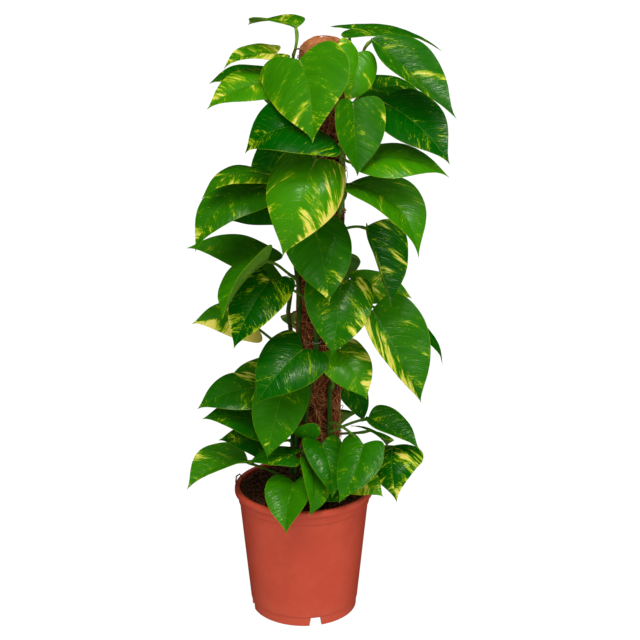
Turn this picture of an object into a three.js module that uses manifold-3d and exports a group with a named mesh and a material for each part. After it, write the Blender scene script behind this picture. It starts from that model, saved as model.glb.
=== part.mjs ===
// Golden pothos (Epipremnum aureum) climbing a coir pole in a round plastic pot.
// Millimetres, Z up, front towards -Y. Places are first given from the pot's axis on the ground.
// The finished group is then shifted, so that its origin is the middle of its footprint.

import * as THREE from "three";
import Module from "manifold-3d";
import { mergeVertices } from "three/addons/utils/BufferGeometryUtils.js";

const wasm = await Module();
wasm.setup();

// Clearance between pieces that touch
const GAP = 0.3;

// Pot: an injection-moulded plant pot, 170 mm across its rolled rim
const POT_HEIGHT = 160;
const RIM_RADIUS = 85;
const RIM_BEAD = 8.5;
const FOOT_RADIUS = 65;
const FOOT_HEIGHT = 13;
const FOOT_RING_WIDTH = 3.2;
const COLLAR_HEIGHT = 19;
const POT_WALL = 2.2;
const FLOOR_THICKNESS = 2.5;
const NOTCH_WIDTH = 16;
const NOTCH_TURN = 12.9;
const DRAIN_RADIUS = 4.5;
const DRAIN_CIRCLE = 40;
const POT_SEGMENTS = 32;

// Soil
const SOIL_EDGE = 155;
const SOIL_CROWN = 159;
const SOIL_RIPPLE = 1.6;
const SOIL_SEGMENTS = 24;

// Coir pole: a fibre sleeve on a wooden stake, leaning a little to the right
const POLE_RADIUS = 26;
const POLE_TOP = 700;
const DOME_HEIGHT = 15;
const SLEEVE_FOOT = 60;
const STAKE_RADIUS = 12;
const STAKE_FOOT = 17;
const STAKE_POINT = 22;
const STAKE_TOP = 670;
const POLE_BASE_X = 13;
const POLE_LEAN = 0.9;
const POLE_SEGMENTS = 24;

// Vines, petioles and blades
const VINE_RADIUS = 3;
const VINE_SIDES = 6;
const VINE_STEPS = 18;
const VINE_ROOT = 105;
const PETIOLE_RADIUS = 1.8;
const PETIOLE_STEPS = 3;
const PETIOLE_START = 0.5;
const PETIOLE_SUNK = 2.5;
const PETIOLE_UNDER = 1.5;
const BLADE_THICKNESS = 0.8;
const AERIAL_ROOT_RADIUS = 0.9;
const AERIAL_ROOT_LENGTH = 9;
const AERIAL_ROOT_DROP = 4;
const THIN_SIDES = 4;

// Wire staples that pin the vines to the pole
const WIRE_RADIUS = 0.6;
const STAPLE_LEG = 12;
const STAPLE_PLAY = 1.3;
const STAPLE_SIDES = 5;
const STAPLE_STEPS = 12;

const { degToRad } = THREE.MathUtils;

function finish(color, roughness) {
  return new THREE.MeshStandardMaterial({ color, roughness, metalness: 0 });
}

const terracottaPlastic = finish(0xc44e3c, 0.45);
const darkSoil = finish(0x481d0d, 0.95);
const coirFibre = finish(0x8a5436, 0.95);
const stakeWood = finish(0xb08a5a, 0.8);
const vineGreen = finish(0x5f8a2c, 0.5);
const leafGreen = finish(0x2f7a1c, 0.3);
const stapleWire = finish(0x6d6a60, 0.4);
stapleWire.metalness = 1;

const plant = new THREE.Group();

function addPart(name, geometry, material) {
  const mesh = new THREE.Mesh(geometry, material);
  mesh.name = name;
  plant.add(mesh);
}

/** A closed geometry as a solid, with its shared vertices merged and empty triangles left out. */
function toSolid(geometry) {
  const bare = geometry.clone();
  bare.deleteAttribute("normal");
  bare.deleteAttribute("uv");
  const merged = mergeVertices(bare, 1e-4);
  const corners = merged.index.array;
  const faces = [];
  for (let i = 0; i < corners.length; i += 3) {
    const [a, b, c] = corners.slice(i, i + 3);
    if (a !== b && b !== c && c !== a) faces.push(a, b, c);
  }
  return new wasm.Manifold(
    new wasm.Mesh({
      numProp: 3,
      vertProperties: Float32Array.from(merged.attributes.position.array),
      triVerts: Uint32Array.from(faces),
    }),
  );
}

function toGeometry(solid) {
  const mesh = solid.getMesh();
  const geometry = new THREE.BufferGeometry();
  geometry.setAttribute("position", new THREE.BufferAttribute(mesh.vertProperties, 3));
  geometry.setIndex(new THREE.BufferAttribute(mesh.triVerts, 1));
  geometry.computeVertexNormals();
  return geometry;
}

/** A body turned about the Z axis, from its profile of [radius, height] points. */
function turned(profile, segments) {
  const points = profile.map(([radius, height]) => new THREE.Vector2(radius, height));
  return new THREE.LatheGeometry(points, segments).rotateX(Math.PI / 2);
}

/** A rod of round section along a curve. */
function rod(curve, radius, sides, steps) {
  const corners = Array.from({ length: sides }, (_, side) =>
    new THREE.Vector2(radius, 0).rotateAround(new THREE.Vector2(), (2 * Math.PI * side) / sides),
  );
  const section = new THREE.Shape(corners);
  return new THREE.ExtrudeGeometry(section, { steps, bevelEnabled: false, extrudePath: curve });
}

// The pot

const FLOOR_UNDERSIDE = FOOT_HEIGHT - 0.5;
const FLOOR_TOP = FLOOR_UNDERSIDE + FLOOR_THICKNESS;
const COLLAR_FOOT = POT_HEIGHT - COLLAR_HEIGHT;
const BEAD_FOOT = POT_HEIGHT - RIM_BEAD;
const COLLAR_RADIUS = RIM_RADIUS - 4.5;
const WALL_LOW_RADIUS = FOOT_RADIUS + 1.6;
const WALL_HIGH_RADIUS = COLLAR_RADIUS - 1.4;

/** Inner radius of the pot at a height above its floor. */
function potInside(height) {
  const share = (height - FLOOR_TOP) / (COLLAR_FOOT - FLOOR_TOP);
  const outside = THREE.MathUtils.lerp(WALL_LOW_RADIUS, WALL_HIGH_RADIUS, share);
  return outside - POT_WALL;
}

function potBody() {
  return turned(
    [
      [0, FLOOR_UNDERSIDE],
      [FOOT_RADIUS - FOOT_RING_WIDTH - 0.6, FLOOR_UNDERSIDE],
      [FOOT_RADIUS - FOOT_RING_WIDTH, 0],
      [FOOT_RADIUS, 0],
      [FOOT_RADIUS + 0.7, FOOT_HEIGHT - 0.6],
      [WALL_LOW_RADIUS, FOOT_HEIGHT + 0.4],
      [WALL_HIGH_RADIUS, COLLAR_FOOT],
      [COLLAR_RADIUS - 0.2, COLLAR_FOOT + 1],
      [COLLAR_RADIUS, BEAD_FOOT],
      [RIM_RADIUS - 1.2, BEAD_FOOT + 0.7],
      [RIM_RADIUS, BEAD_FOOT + 2.5],
      [RIM_RADIUS, POT_HEIGHT - 2.6],
      [RIM_RADIUS - 1.4, POT_HEIGHT - 0.6],
      [RIM_RADIUS - 3.4, POT_HEIGHT],
      [RIM_RADIUS - 5.6, POT_HEIGHT - 0.6],
      [RIM_RADIUS - 6.6, POT_HEIGHT - 2.4],
      [potInside(COLLAR_FOOT), COLLAR_FOOT],
      [potInside(FLOOR_TOP + 2), FLOOR_TOP + 2],
      [potInside(FLOOR_TOP) - 2, FLOOR_TOP],
      [0, FLOOR_TOP],
    ],
    POT_SEGMENTS,
  );
}

/** A drainage notch through the foot ring, narrower at its top. */
function footNotch(turn) {
  const half = NOTCH_WIDTH / 2;
  const outline = new THREE.Shape();
  outline.moveTo(-half, -1);
  outline.lineTo(half, -1);
  outline.lineTo(half - 2, FLOOR_UNDERSIDE - 1.5);
  outline.lineTo(-half + 2, FLOOR_UNDERSIDE - 1.5);
  outline.closePath();
  const notch = new THREE.ExtrudeGeometry(outline, { depth: 14, bevelEnabled: false });
  notch.rotateX(Math.PI / 2).translate(0, -(FOOT_RADIUS - 8), 0);
  return toSolid(notch.rotateZ(degToRad(turn)));
}

function drainHole(x, y) {
  const hole = new THREE.CylinderGeometry(DRAIN_RADIUS, DRAIN_RADIUS, 3 * FLOOR_THICKNESS, 12);
  return toSolid(hole.rotateX(Math.PI / 2).translate(x, y, FLOOR_UNDERSIDE));
}

function potGeometry() {
  let pot = toSolid(potBody()).subtract(drainHole(0, 0));
  for (let quarter = 0; quarter < 4; quarter += 1) {
    const turn = NOTCH_TURN + 90 * quarter;
    const angle = degToRad(turn + 45);
    pot = pot.subtract(footNotch(turn));
    pot = pot.subtract(drainHole(DRAIN_CIRCLE * Math.sin(angle), DRAIN_CIRCLE * Math.cos(angle)));
  }
  return toGeometry(pot);
}

// The coir pole: everything here stands upright first and is then leaned about its foot

function poleX(z) {
  return POLE_BASE_X + Math.tan(degToRad(POLE_LEAN)) * z;
}

function leaned(geometry) {
  return geometry.rotateY(degToRad(POLE_LEAN)).translate(POLE_BASE_X, 0, 0);
}

/** The fibre sleeve: a straight wall under a low dome, bored from below for the stake. */
function sleeveBody() {
  const bore = STAKE_RADIUS + GAP;
  const profile = [
    [bore, SLEEVE_FOOT],
    [POLE_RADIUS, SLEEVE_FOOT],
  ];
  for (let turn = 0; turn < 90; turn += 22.5) {
    const angle = degToRad(turn);
    const height = POLE_TOP - DOME_HEIGHT + DOME_HEIGHT * Math.sin(angle);
    profile.push([POLE_RADIUS * Math.cos(angle), height]);
  }
  profile.push([0, POLE_TOP], [0, STAKE_TOP + GAP], [bore, STAKE_TOP + GAP], [bore, SLEEVE_FOOT]);
  return leaned(turned(profile, POLE_SEGMENTS));
}

/** The room that the sleeve takes in the soil. */
function sleeveSocket() {
  const profile = [
    [0, SLEEVE_FOOT - GAP],
    [POLE_RADIUS + GAP, SLEEVE_FOOT - GAP],
    [POLE_RADIUS + GAP, POT_HEIGHT],
    [0, POT_HEIGHT],
  ];
  return leaned(turned(profile, POLE_SEGMENTS));
}

function stakeBody(play) {
  return leaned(
    turned(
      [
        [0, STAKE_FOOT - play],
        [3 + play, STAKE_FOOT - play],
        [STAKE_RADIUS + play, STAKE_FOOT + STAKE_POINT],
        [STAKE_RADIUS + play, STAKE_TOP],
        [0, STAKE_TOP],
      ],
      POLE_SEGMENTS,
    ),
  );
}

// Vines: each knot gives the angle about the pole from its front, the height, and the distance

const VINES = {
  vine_front_left: [
    [-58, 140], [-56, 260], [-52, 345], [-54, 414], [-78, 455, 31], [-85, 560, 30], [-92, 640, 30],
  ],
  vine_front: [
    [-38, 140], [-30, 235], [-27, 270], [-15, 310], [-5, 345], [-8, 380], [-28, 404], [-24, 500],
    [-14, 600], [-20, 672],
  ],
  vine_right: [
    [30, 140], [28, 290], [39, 312], [55, 400, 30], [38, 494, 30], [62, 530, 30], [50, 560, 30],
    [45, 588, 30], [66, 630, 30], [84, 662, 30],
  ],
  vine_left: [
    [-88, 140, 30], [-90, 250, 30], [-86, 340, 31], [-92, 380, 37], [-88, 420, 32],
  ],
  vine_back: [
    [170, 140, 30], [200, 260, 30], [165, 400, 30], [195, 540, 30], [160, 655, 30],
  ],
};
const VINE_DISTANCE = POLE_RADIUS + VINE_RADIUS + 0.5;

function aroundPole(turn, z, distance) {
  const angle = degToRad(turn);
  return new THREE.Vector3(poleX(z) + distance * Math.sin(angle), -distance * Math.cos(angle), z);
}

/** A smooth path through the knots, and through the middle of each stretch, round the pole. */
function vinePath(knots, play = 0) {
  const [firstTurn, , firstDistance = VINE_DISTANCE] = knots[0];
  const points = [aroundPole(firstTurn, VINE_ROOT - play, firstDistance)];
  knots.forEach(([turn, z, distance = VINE_DISTANCE], i) => {
    const last = i + 1 === knots.length;
    points.push(aroundPole(turn, last ? z + play : z, distance));
    if (last) return;
    const [nextTurn, nextZ, nextDistance = VINE_DISTANCE] = knots[i + 1];
    points.push(aroundPole((turn + nextTurn) / 2, (z + nextZ) / 2, (distance + nextDistance) / 2));
  });
  return new THREE.CatmullRomCurve3(points, false, "centripetal");
}

const VINE_PATHS = Object.fromEntries(
  Object.entries(VINES).map(([name, knots]) => [name, vinePath(knots)]),
);

/** The vine's centre at a height. */
function vineAt(name, z) {
  const points = VINE_PATHS[name].getPoints(200);
  const above = points.findIndex((point, i) => i > 0 && point.z >= z);
  const [low, high] = [points[above - 1], points[above]];
  return low.clone().lerp(high, (z - low.z) / (high.z - low.z));
}

/** Direction straight out from the pole at a point beside it. */
function outward(point) {
  return new THREE.Vector3(point.x - poleX(point.z), point.y, 0).normalize();
}

/** An aerial root that leaves the vine at a node, sideways and down along the coir. */
function aerialRoot(name, z, side) {
  const start = vineAt(name, z);
  const out = outward(start);
  const along = new THREE.Vector3(-out.y, out.x, 0).multiplyScalar(side);
  const reach = (share, drop) =>
    start
      .clone()
      .addScaledVector(along, share * AERIAL_ROOT_LENGTH)
      .addScaledVector(out, share * share * AERIAL_ROOT_LENGTH * 0.35)
      .add(new THREE.Vector3(0, 0, -drop));
  const curve = new THREE.QuadraticBezierCurve3(start, reach(0.6, 0), reach(1, AERIAL_ROOT_DROP));
  return toSolid(rod(curve, AERIAL_ROOT_RADIUS, THIN_SIDES, 3));
}

const AERIAL_ROOTS = {
  vine_front_left: [[302, -1], [392, 1]],
  vine_front: [[322, -1], [420, 1], [612, -1]],
  vine_right: [[268, 1], [352, -1], [575, 1]],
};

function vineSolid(name, play = 0) {
  return toSolid(rod(vinePath(VINES[name], play), VINE_RADIUS + play, VINE_SIDES, VINE_STEPS));
}

function vineWithRoots(name) {
  const roots = (AERIAL_ROOTS[name] ?? []).map(([z, side]) => aerialRoot(name, z, side));
  return wasm.Manifold.union([vineSolid(name), ...roots]);
}

// Soil, with plain holes where the pole and the vines stand

function soilGeometry() {
  const edge = (z) => potInside(z) - 3 * GAP;
  const body = turned(
    [
      [0, FLOOR_TOP + GAP],
      [edge(FLOOR_TOP) - 2.2, FLOOR_TOP + GAP],
      [edge(FLOOR_TOP + 2.6), FLOOR_TOP + 2.6],
      [edge(SOIL_EDGE), SOIL_EDGE],
      [66, SOIL_EDGE + 2],
      [50, SOIL_CROWN - 1],
      [0, SOIL_CROWN],
    ],
    SOIL_SEGMENTS,
  );
  const position = body.attributes.position;
  for (let i = 0; i < position.count; i += 1) {
    const [x, y, z] = [position.getX(i), position.getY(i), position.getZ(i)];
    const ripple = SOIL_RIPPLE * Math.sin(x / 9) * Math.cos(y / 7);
    if (z > SOIL_EDGE + 1 && x * x + y * y > 1) position.setZ(i, z + ripple);
  }
  let soil = toSolid(body).subtract(toSolid(sleeveSocket())).subtract(toSolid(stakeBody(GAP)));
  for (const name of Object.keys(VINES)) soil = soil.subtract(vineSolid(name, GAP));
  return toGeometry(soil);
}

// Wire staples: each arches over a vine, with both legs pushed into the coir

const STAPLES = {
  staple_low: ["vine_front_left", 243],
  staple_middle: ["vine_front", 352],
  staple_right: ["vine_right", 316],
};

function staple([vine, z], play = 0) {
  const centre = vineAt(vine, z);
  const out = outward(centre);
  const across = new THREE.Vector3(-out.y, out.x, 0);
  const over = VINE_RADIUS + STAPLE_PLAY + WIRE_RADIUS;
  const at = (side, rise) =>
    centre.clone().addScaledVector(across, side).addScaledVector(out, rise);
  const curve = new THREE.CatmullRomCurve3([
    at(-over, -STAPLE_LEG - play),
    at(-over, -STAPLE_LEG / 2),
    at(-over, 0),
    at(-over * 0.75, over * 0.75),
    at(0, over * 1.08),
    at(over * 0.75, over * 0.75),
    at(over, 0),
    at(over, -STAPLE_LEG / 2),
    at(over, -STAPLE_LEG - play),
  ]);
  return toSolid(rod(curve, WIRE_RADIUS + play, STAPLE_SIDES, STAPLE_STEPS));
}

// Blades: a heart-shaped sheet, folded at the midrib, arched along it and rolled at its margins

const EDGE_ANGLES = [12, 38, 69, 100, 132, 158, 177];
const BLADE_COLUMNS = 5;

/** The right half of the outline: shares of the half width and of the length, by angle. */
function heartEdge(angle, lobes = 1) {
  const turn = degToRad(angle);
  const swell = Math.sin(turn);
  const taper = 1 + 0.5 * Math.max(-Math.cos(turn), 0) ** 3;
  const lobe = 0.44 * swell * Math.cos(turn / 2) ** 2 + 0.07 * Math.max(Math.sin(2 * turn), 0);
  return {
    out: (swell ** taper * (1 + 0.15 * Math.cos(turn))) / 1.01,
    along: (angle / 180) ** 1.15 - lobes * lobe,
  };
}

/** The blade's length and its own axes: across, along the midrib, and up from its upper face. */
function bladeAxes(leaf) {
  const base = new THREE.Vector3(...leaf.base);
  const tip = new THREE.Vector3(...leaf.tip);
  const along = tip.clone().sub(base);
  const length = along.length();
  along.normalize();
  const [turn, rise] = leaf.faces.map(degToRad);
  const up = new THREE.Vector3(
    Math.sin(turn) * Math.cos(rise),
    -Math.cos(turn) * Math.cos(rise),
    Math.sin(rise),
  );
  up.addScaledVector(along, -up.dot(along)).normalize();
  return { base, along, up, length, across: along.clone().cross(up) };
}

/** A point of the blade: side is -1 or 1, out and along are shares of half width and length. */
function bladePoint(leaf, axes, side, out, along) {
  const { fold = 12, curl = 35, arch = 0.1, hook = 0.03, bend = 0 } = leaf;
  const rolled = degToRad(fold) - degToRad(curl) * out;
  const reach = leaf.width / 2 / degToRad(curl);
  const across = side * reach * (Math.sin(degToRad(fold)) - Math.sin(rolled));
  const lift = reach * (Math.cos(rolled) - Math.cos(degToRad(fold)));
  const ahead = Math.max(along, 0);
  const rise = arch * 4 * along * (1 - along) + hook * 2 * (ahead - ahead ** 4);
  const lean = Math.atan(arch * 4 * (1 - 2 * ahead) + hook * 2 * (1 - 4 * ahead ** 3));
  return axes.base
    .clone()
    .addScaledVector(axes.across, across + bend * axes.length * 4 * ahead * (1 - ahead))
    .addScaledVector(axes.along, along * axes.length - Math.sin(lean) * lift)
    .addScaledVector(axes.up, rise * axes.length + Math.cos(lean) * lift);
}

/** The blade's middle sheet, as a plane whose grid is laid out inside the outline. */
function bladeSheet(leaf, axes) {
  const rows = EDGE_ANGLES.length;
  const sheet = new THREE.PlaneGeometry(1, 1, BLADE_COLUMNS - 1, rows - 1);
  for (let row = 0; row < rows; row += 1) {
    const edge = heartEdge(EDGE_ANGLES[row], leaf.lobes);
    const midrib = (EDGE_ANGLES[row] / 180) ** 2;
    for (let column = 0; column < BLADE_COLUMNS; column += 1) {
      const share = 1 - (2 * column) / (BLADE_COLUMNS - 1);
      const out = Math.abs(share) * edge.out;
      const along = midrib + (edge.along - midrib) * Math.abs(share);
      const point = bladePoint(leaf, axes, Math.sign(share), out, along);
      sheet.attributes.position.setXYZ(row * BLADE_COLUMNS + column, point.x, point.y, point.z);
    }
  }
  return sheet;
}

/** Gives a sheet its thickness, with the same triangles on both faces and a strip round the rim. */
function thicken(sheet, thickness) {
  sheet.computeVertexNormals();
  const { position, normal } = sheet.attributes;
  const count = position.count;
  const corners = new Float32Array(6 * count);
  for (let i = 0; i < count; i += 1) {
    const middle = new THREE.Vector3().fromBufferAttribute(position, i);
    const half = new THREE.Vector3().fromBufferAttribute(normal, i).multiplyScalar(thickness / 2);
    middle.clone().add(half).toArray(corners, 3 * i);
    middle.clone().sub(half).toArray(corners, 3 * (count + i));
  }
  const upper = Array.from(sheet.index.array);
  const faces = [...upper];
  const edges = new Map();
  for (let i = 0; i < upper.length; i += 3) {
    const [a, b, c] = upper.slice(i, i + 3);
    faces.push(count + c, count + b, count + a);
    for (const [from, to] of [[a, b], [b, c], [c, a]]) edges.set(`${from} ${to}`, [from, to]);
  }
  for (const [from, to] of edges.values()) {
    if (edges.has(`${to} ${from}`)) continue;
    faces.push(to, from, count + from, to, count + from, count + to);
  }
  const body = new THREE.BufferGeometry();
  body.setAttribute("position", new THREE.BufferAttribute(corners, 3));
  body.setIndex(faces);
  return body;
}

/** The leaf stalk: from inside the vine out and up, then over into the midrib. */
function petioleCurve(leaf, axes) {
  const node = vineAt(leaf.vine, leaf.node);
  const out = outward(node);
  const start = node.clone().addScaledVector(out, PETIOLE_START);
  const first = bladePoint(leaf, axes, 1, 0, 0.04).sub(axes.base).normalize();
  const reach = axes.base.distanceTo(start) / 3;
  const straight = axes.base.clone().sub(start).normalize();
  const leave = out.clone().multiplyScalar(0.9).add(new THREE.Vector3(0, 0, 0.5));
  const arrive = first.clone().multiplyScalar(0.8).addScaledVector(straight, 0.9);
  arrive.z += 0.3;
  arrive.normalize();
  const under = PETIOLE_UNDER * (1 - Math.abs(arrive.dot(axes.up)));
  return new THREE.CubicBezierCurve3(
    start,
    start.clone().addScaledVector(leave, reach),
    axes.base.clone().addScaledVector(arrive, -reach),
    axes.base.clone().addScaledVector(first, PETIOLE_SUNK).addScaledVector(axes.up, -under),
  );
}

function leafSolid(leaf) {
  const axes = bladeAxes(leaf);
  const blade = toSolid(thicken(bladeSheet(leaf, axes), BLADE_THICKNESS));
  const petiole = rod(petioleCurve(leaf, axes), PETIOLE_RADIUS, THIN_SIDES, PETIOLE_STEPS);
  return blade.add(toSolid(petiole));
}

// Leaves that show: base and tip of the blade, its width, and where its upper face looks, as
// degrees round from the front and up. Fold, curl, arch, hook, bend and the depth of its lobes
// shape it where given.

const LEFT = "vine_front_left";
const FRONT = "vine_front";
const RIGHT = "vine_right";
const OUTER = "vine_left";

const LEAVES = {
  leaf_01: { base: [-6, -2, 711], tip: [-64, 57, 709], width: 64, faces: [42, 92], vine: LEFT,
    node: 636, fold: 13, curl: 11, arch: 0.11, hook: -0.03, lobes: 0.15 },
  leaf_02: { base: [-3, -38, 679], tip: [12, -108, 599], width: 102, faces: [-42, 56], vine: FRONT,
    node: 640, arch: 0.06, bend: -0.08 },
  leaf_03: { base: [62, -25, 686], tip: [46, -55, 633], width: 56, faces: [45, 30], vine: RIGHT,
    node: 650, fold: 15 },
  leaf_04: { base: [-29, 9, 681], tip: [-88, -12, 666], width: 46, faces: [0, 72], vine: LEFT,
    node: 630, fold: 22, arch: 0.05, hook: 0.1 },
  leaf_05: { base: [-32, 25, 651], tip: [-107, 17, 646], width: 64, faces: [-20, 66], vine: LEFT,
    node: 622, fold: 10 },
  leaf_06: { base: [-30, -16, 651], tip: [-105, -45, 626], width: 66, faces: [-10, 58], vine: LEFT,
    node: 604, fold: 18 },
  leaf_07: { base: [18, -70, 608], tip: [-62, -78, 583], width: 98, faces: [-8, 55], vine: FRONT,
    node: 590, fold: 20, arch: 0.2 },
  leaf_08: { base: [55, -63, 637], tip: [61, -71, 556], width: 75, faces: [36, 38], vine: RIGHT,
    node: 600, fold: 30, curl: 19, arch: 0, hook: 0, lobes: 0.7 },
  leaf_09: { base: [56, 64, 703], tip: [165, 102, 674], width: 63, faces: [-56, 63], vine: RIGHT,
    node: 660, fold: 17, curl: 45, arch: 0.09, hook: 0 },
  leaf_10: { base: [77, 14, 697], tip: [172, -35, 614], width: 77, faces: [26, 58], vine: RIGHT,
    node: 641, fold: 35, curl: 28, arch: 0, hook: -0.02, bend: -0.05, lobes: 0.15 },
  leaf_11: { base: [67, 33, 633], tip: [138, 66, 630], width: 60, faces: [0, 60], vine: RIGHT,
    node: 625 },
  leaf_12: { base: [89, -3, 629], tip: [165, -41, 564], width: 92, faces: [6, 65], vine: RIGHT,
    node: 612, fold: 14, curl: 18, hook: 0, lobes: 0.35 },
  leaf_13: { base: [54, -37, 566], tip: [166, -31, 547], width: 74, faces: [1, 68], vine: RIGHT,
    node: 565, fold: 13, curl: 41, arch: 0.17, hook: 0, bend: 0.04, lobes: 0.28 },
  leaf_14: { base: [-28, 40, 567], tip: [-50, 36, 508], width: 60, faces: [-30, 30], vine: LEFT,
    node: 560 },
  leaf_15: { base: [14, -70, 574], tip: [-21, -113, 476], width: 104, faces: [16, 50], vine: RIGHT,
    node: 586, fold: 3, curl: 70, arch: 0.22 },
  leaf_16: { base: [-39, -20, 548], tip: [-113, -50, 526], width: 50, faces: [-10, 72], vine: LEFT,
    node: 548, fold: 10, arch: 0.18 },
  leaf_17: { base: [-46, -25, 536], tip: [-120, -65, 469], width: 68, faces: [-35, 25], vine: LEFT,
    node: 530, bend: 0.1 },
  leaf_18: { base: [-23, -5, 516], tip: [-89, 0, 489], width: 60, faces: [-20, 40], vine: LEFT,
    node: 500 },
  leaf_19: { base: [54, -18, 538], tip: [130, -71, 464], width: 105, faces: [49, 85], vine: RIGHT,
    node: 530, fold: 16, curl: 18, arch: 0.17, bend: -0.02, lobes: 0.28 },
  leaf_20: { base: [-38, 4, 439], tip: [-136, -6, 459], width: 58, faces: [-10, 55], vine: OUTER,
    node: 412 },
  leaf_21: { base: [-40, -48, 456], tip: [-89, -103, 402], width: 82, faces: [-103, 55],
    vine: LEFT, node: 425, fold: 29, curl: 16, hook: -0.03, bend: 0.02, lobes: 0.59 },
  leaf_22: { base: [-38, -41, 430], tip: [-78, -81, 360], width: 66, faces: [-15, 30], vine: FRONT,
    node: 404, fold: 15 },
  leaf_23: { base: [14, -45, 490], tip: [30, -75, 413], width: 78, faces: [10, 30], vine: FRONT,
    node: 480 },
  leaf_24: { base: [73, -15, 487], tip: [102, -41, 398], width: 100, faces: [62, 23], vine: RIGHT,
    node: 483, fold: 39, curl: 25, arch: 0, hook: 0, lobes: 0.57 },
  leaf_25: { base: [65, 30, 404], tip: [131, 40, 385], width: 60, faces: [10, 60], vine: RIGHT,
    node: 405 },
  leaf_26: { base: [43, -35, 424], tip: [33, -75, 349], width: 82, faces: [10, 30], vine: RIGHT,
    node: 420 },
  leaf_27: { base: [81, -14, 386], tip: [139, -40, 280], width: 98, faces: [40, 35], vine: RIGHT,
    node: 385, fold: 34, curl: 13, hook: 0, bend: 0.07, lobes: 0.54 },
  leaf_28: { base: [122, 20, 367], tip: [168, 20, 308], width: 50, faces: [80, 30], vine: RIGHT,
    node: 395 },
  leaf_29: { base: [-61, -5, 368], tip: [-130, -25, 373], width: 62, faces: [-15, 55], vine: OUTER,
    node: 330 },
  leaf_30: { base: [0, -50, 350], tip: [-53, -85, 296], width: 76, faces: [-10, 35], vine: RIGHT,
    node: 295 },
  leaf_31: { base: [42, -45, 345], tip: [74, -70, 295], width: 60, faces: [15, 35], vine: RIGHT,
    node: 330 },
  leaf_32: { base: [-23, -35, 297], tip: [-42, -70, 222], width: 66, faces: [-5, 25], vine: FRONT,
    node: 285 },
  leaf_33: { base: [-56, -14, 290], tip: [-125, -39, 272], width: 62, faces: [-20, 50], vine: OUTER,
    node: 270 },
  leaf_34: { base: [-50, -15, 243], tip: [-120, -40, 260], width: 58, faces: [-15, 60], vine: OUTER,
    node: 240 },
  leaf_35: { base: [-43, -5, 213], tip: [-103, -15, 223], width: 50, faces: [-20, 60], vine: OUTER,
    node: 216 },
  leaf_36: { base: [-68, -9, 193], tip: [-138, -62, 179], width: 78, faces: [-76, 91], vine: OUTER,
    node: 165, fold: 28, curl: 14, arch: 0.08, bend: 0.03, lobes: 0.64 },
  leaf_37: { base: [-12, -56, 220], tip: [-66, -50, 206], width: 40, faces: [-10, 75], vine: FRONT,
    node: 200 },
  leaf_38: { base: [-11, -57, 186], tip: [-19, -106, 143], width: 63, faces: [-22, 48],
    vine: FRONT, node: 165, fold: 35, arch: 0.11, hook: 0, lobes: 0.77 },
  leaf_39: { base: [10, -63, 207], tip: [7, -99, 162], width: 50, faces: [60, 30], vine: FRONT,
    node: 188, fold: 25 },
  leaf_40: { base: [22, -50, 232], tip: [34, -85, 178], width: 56, faces: [34, 38], vine: RIGHT,
    node: 210, fold: 20 },
  leaf_41: { base: [78, -11, 251], tip: [139, -31, 218], width: 67, faces: [66, 58], vine: RIGHT,
    node: 238, fold: 33, arch: 0.03, hook: 0, lobes: 0.51 },
  leaf_42: { base: [109, -3, 211], tip: [111, -63, 163], width: 79, faces: [-27, 61], vine: RIGHT,
    node: 222, fold: 2, curl: 44, arch: 0.27, hook: 0.05, lobes: 0.72 },
  leaf_43: { base: [58, -55, 191], tip: [94, -85, 180], width: 45, faces: [10, 50], vine: RIGHT,
    node: 180 },
  leaf_44: { base: [8, -44, 234], tip: [-23, -52, 251], width: 54, faces: [-13, -50], vine: FRONT,
    node: 212, fold: 2, curl: 60, arch: 0, hook: -0.03, bend: 0.07, lobes: 0.74 },
  leaf_45: { base: [56, 30, 278], tip: [72, 25, 231], width: 45, faces: [45, 25], vine: "vine_back",
    node: 258 },
  leaf_46: { base: [40, -46, 173], tip: [8, -62, 165], width: 36, faces: [0, 60], vine: RIGHT,
    node: 166 },
  leaf_47: { base: [-48, 18, 301], tip: [-98, 3, 261], width: 50, faces: [-30, 40], vine: OUTER,
    node: 285 },
  leaf_48: { base: [70, -63, 237], tip: [41, -111, 184], width: 56, faces: [10, 80], vine: RIGHT,
    node: 250, fold: 16, curl: 47, arch: 0.07, hook: 0, bend: -0.08 },
};

// Leaves of the back vine, which are one body with it

const BACK_LEAVES = [
  { base: [30, 45, 668], tip: [55, 110, 620], width: 80, faces: [160, 45], node: 650 },
  { base: [-5, 50, 640], tip: [-30, 115, 590], width: 78, faces: [200, 45], node: 620 },
  { base: [5, 50, 590], tip: [-10, 115, 530], width: 74, faces: [190, 40], node: 570 },
  { base: [22, 40, 520], tip: [22, 100, 455], width: 62, faces: [180, 40], node: 505 },
  { base: [35, 42, 440], tip: [50, 100, 380], width: 62, faces: [170, 40], node: 425 },
  { base: [10, 45, 365], tip: [0, 105, 310], width: 75, faces: [185, 40], node: 350 },
  { base: [5, 42, 300], tip: [-15, 100, 245], width: 72, faces: [190, 40], node: 285 },
  { base: [30, 42, 240], tip: [45, 95, 195], width: 62, faces: [170, 40], node: 225 },
  { base: [82, 82, 642], tip: [108, 118, 586], width: 70, faces: [140, 45], node: 630 },
  { base: [-44, 60, 655], tip: [-82, 96, 622], width: 66, faces: [225, 45], node: 645 },
  { base: [-54, 60, 518], tip: [-92, 94, 478], width: 66, faces: [230, 40], node: 508 },
  { base: [-40, 42, 405], tip: [-70, 85, 360], width: 66, faces: [230, 40], node: 390 },
  { base: [74, 50, 360], tip: [98, 92, 305], width: 70, faces: [130, 40], node: 345 },
  { base: [80, 38, 215], tip: [105, 70, 180], width: 56, faces: [135, 45], node: 200 },
];

// Putting it together

addPart("pot", potGeometry(), terracottaPlastic);
addPart("soil", soilGeometry(), darkSoil);
addPart("core_stake", toGeometry(toSolid(stakeBody(0))), stakeWood);

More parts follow.
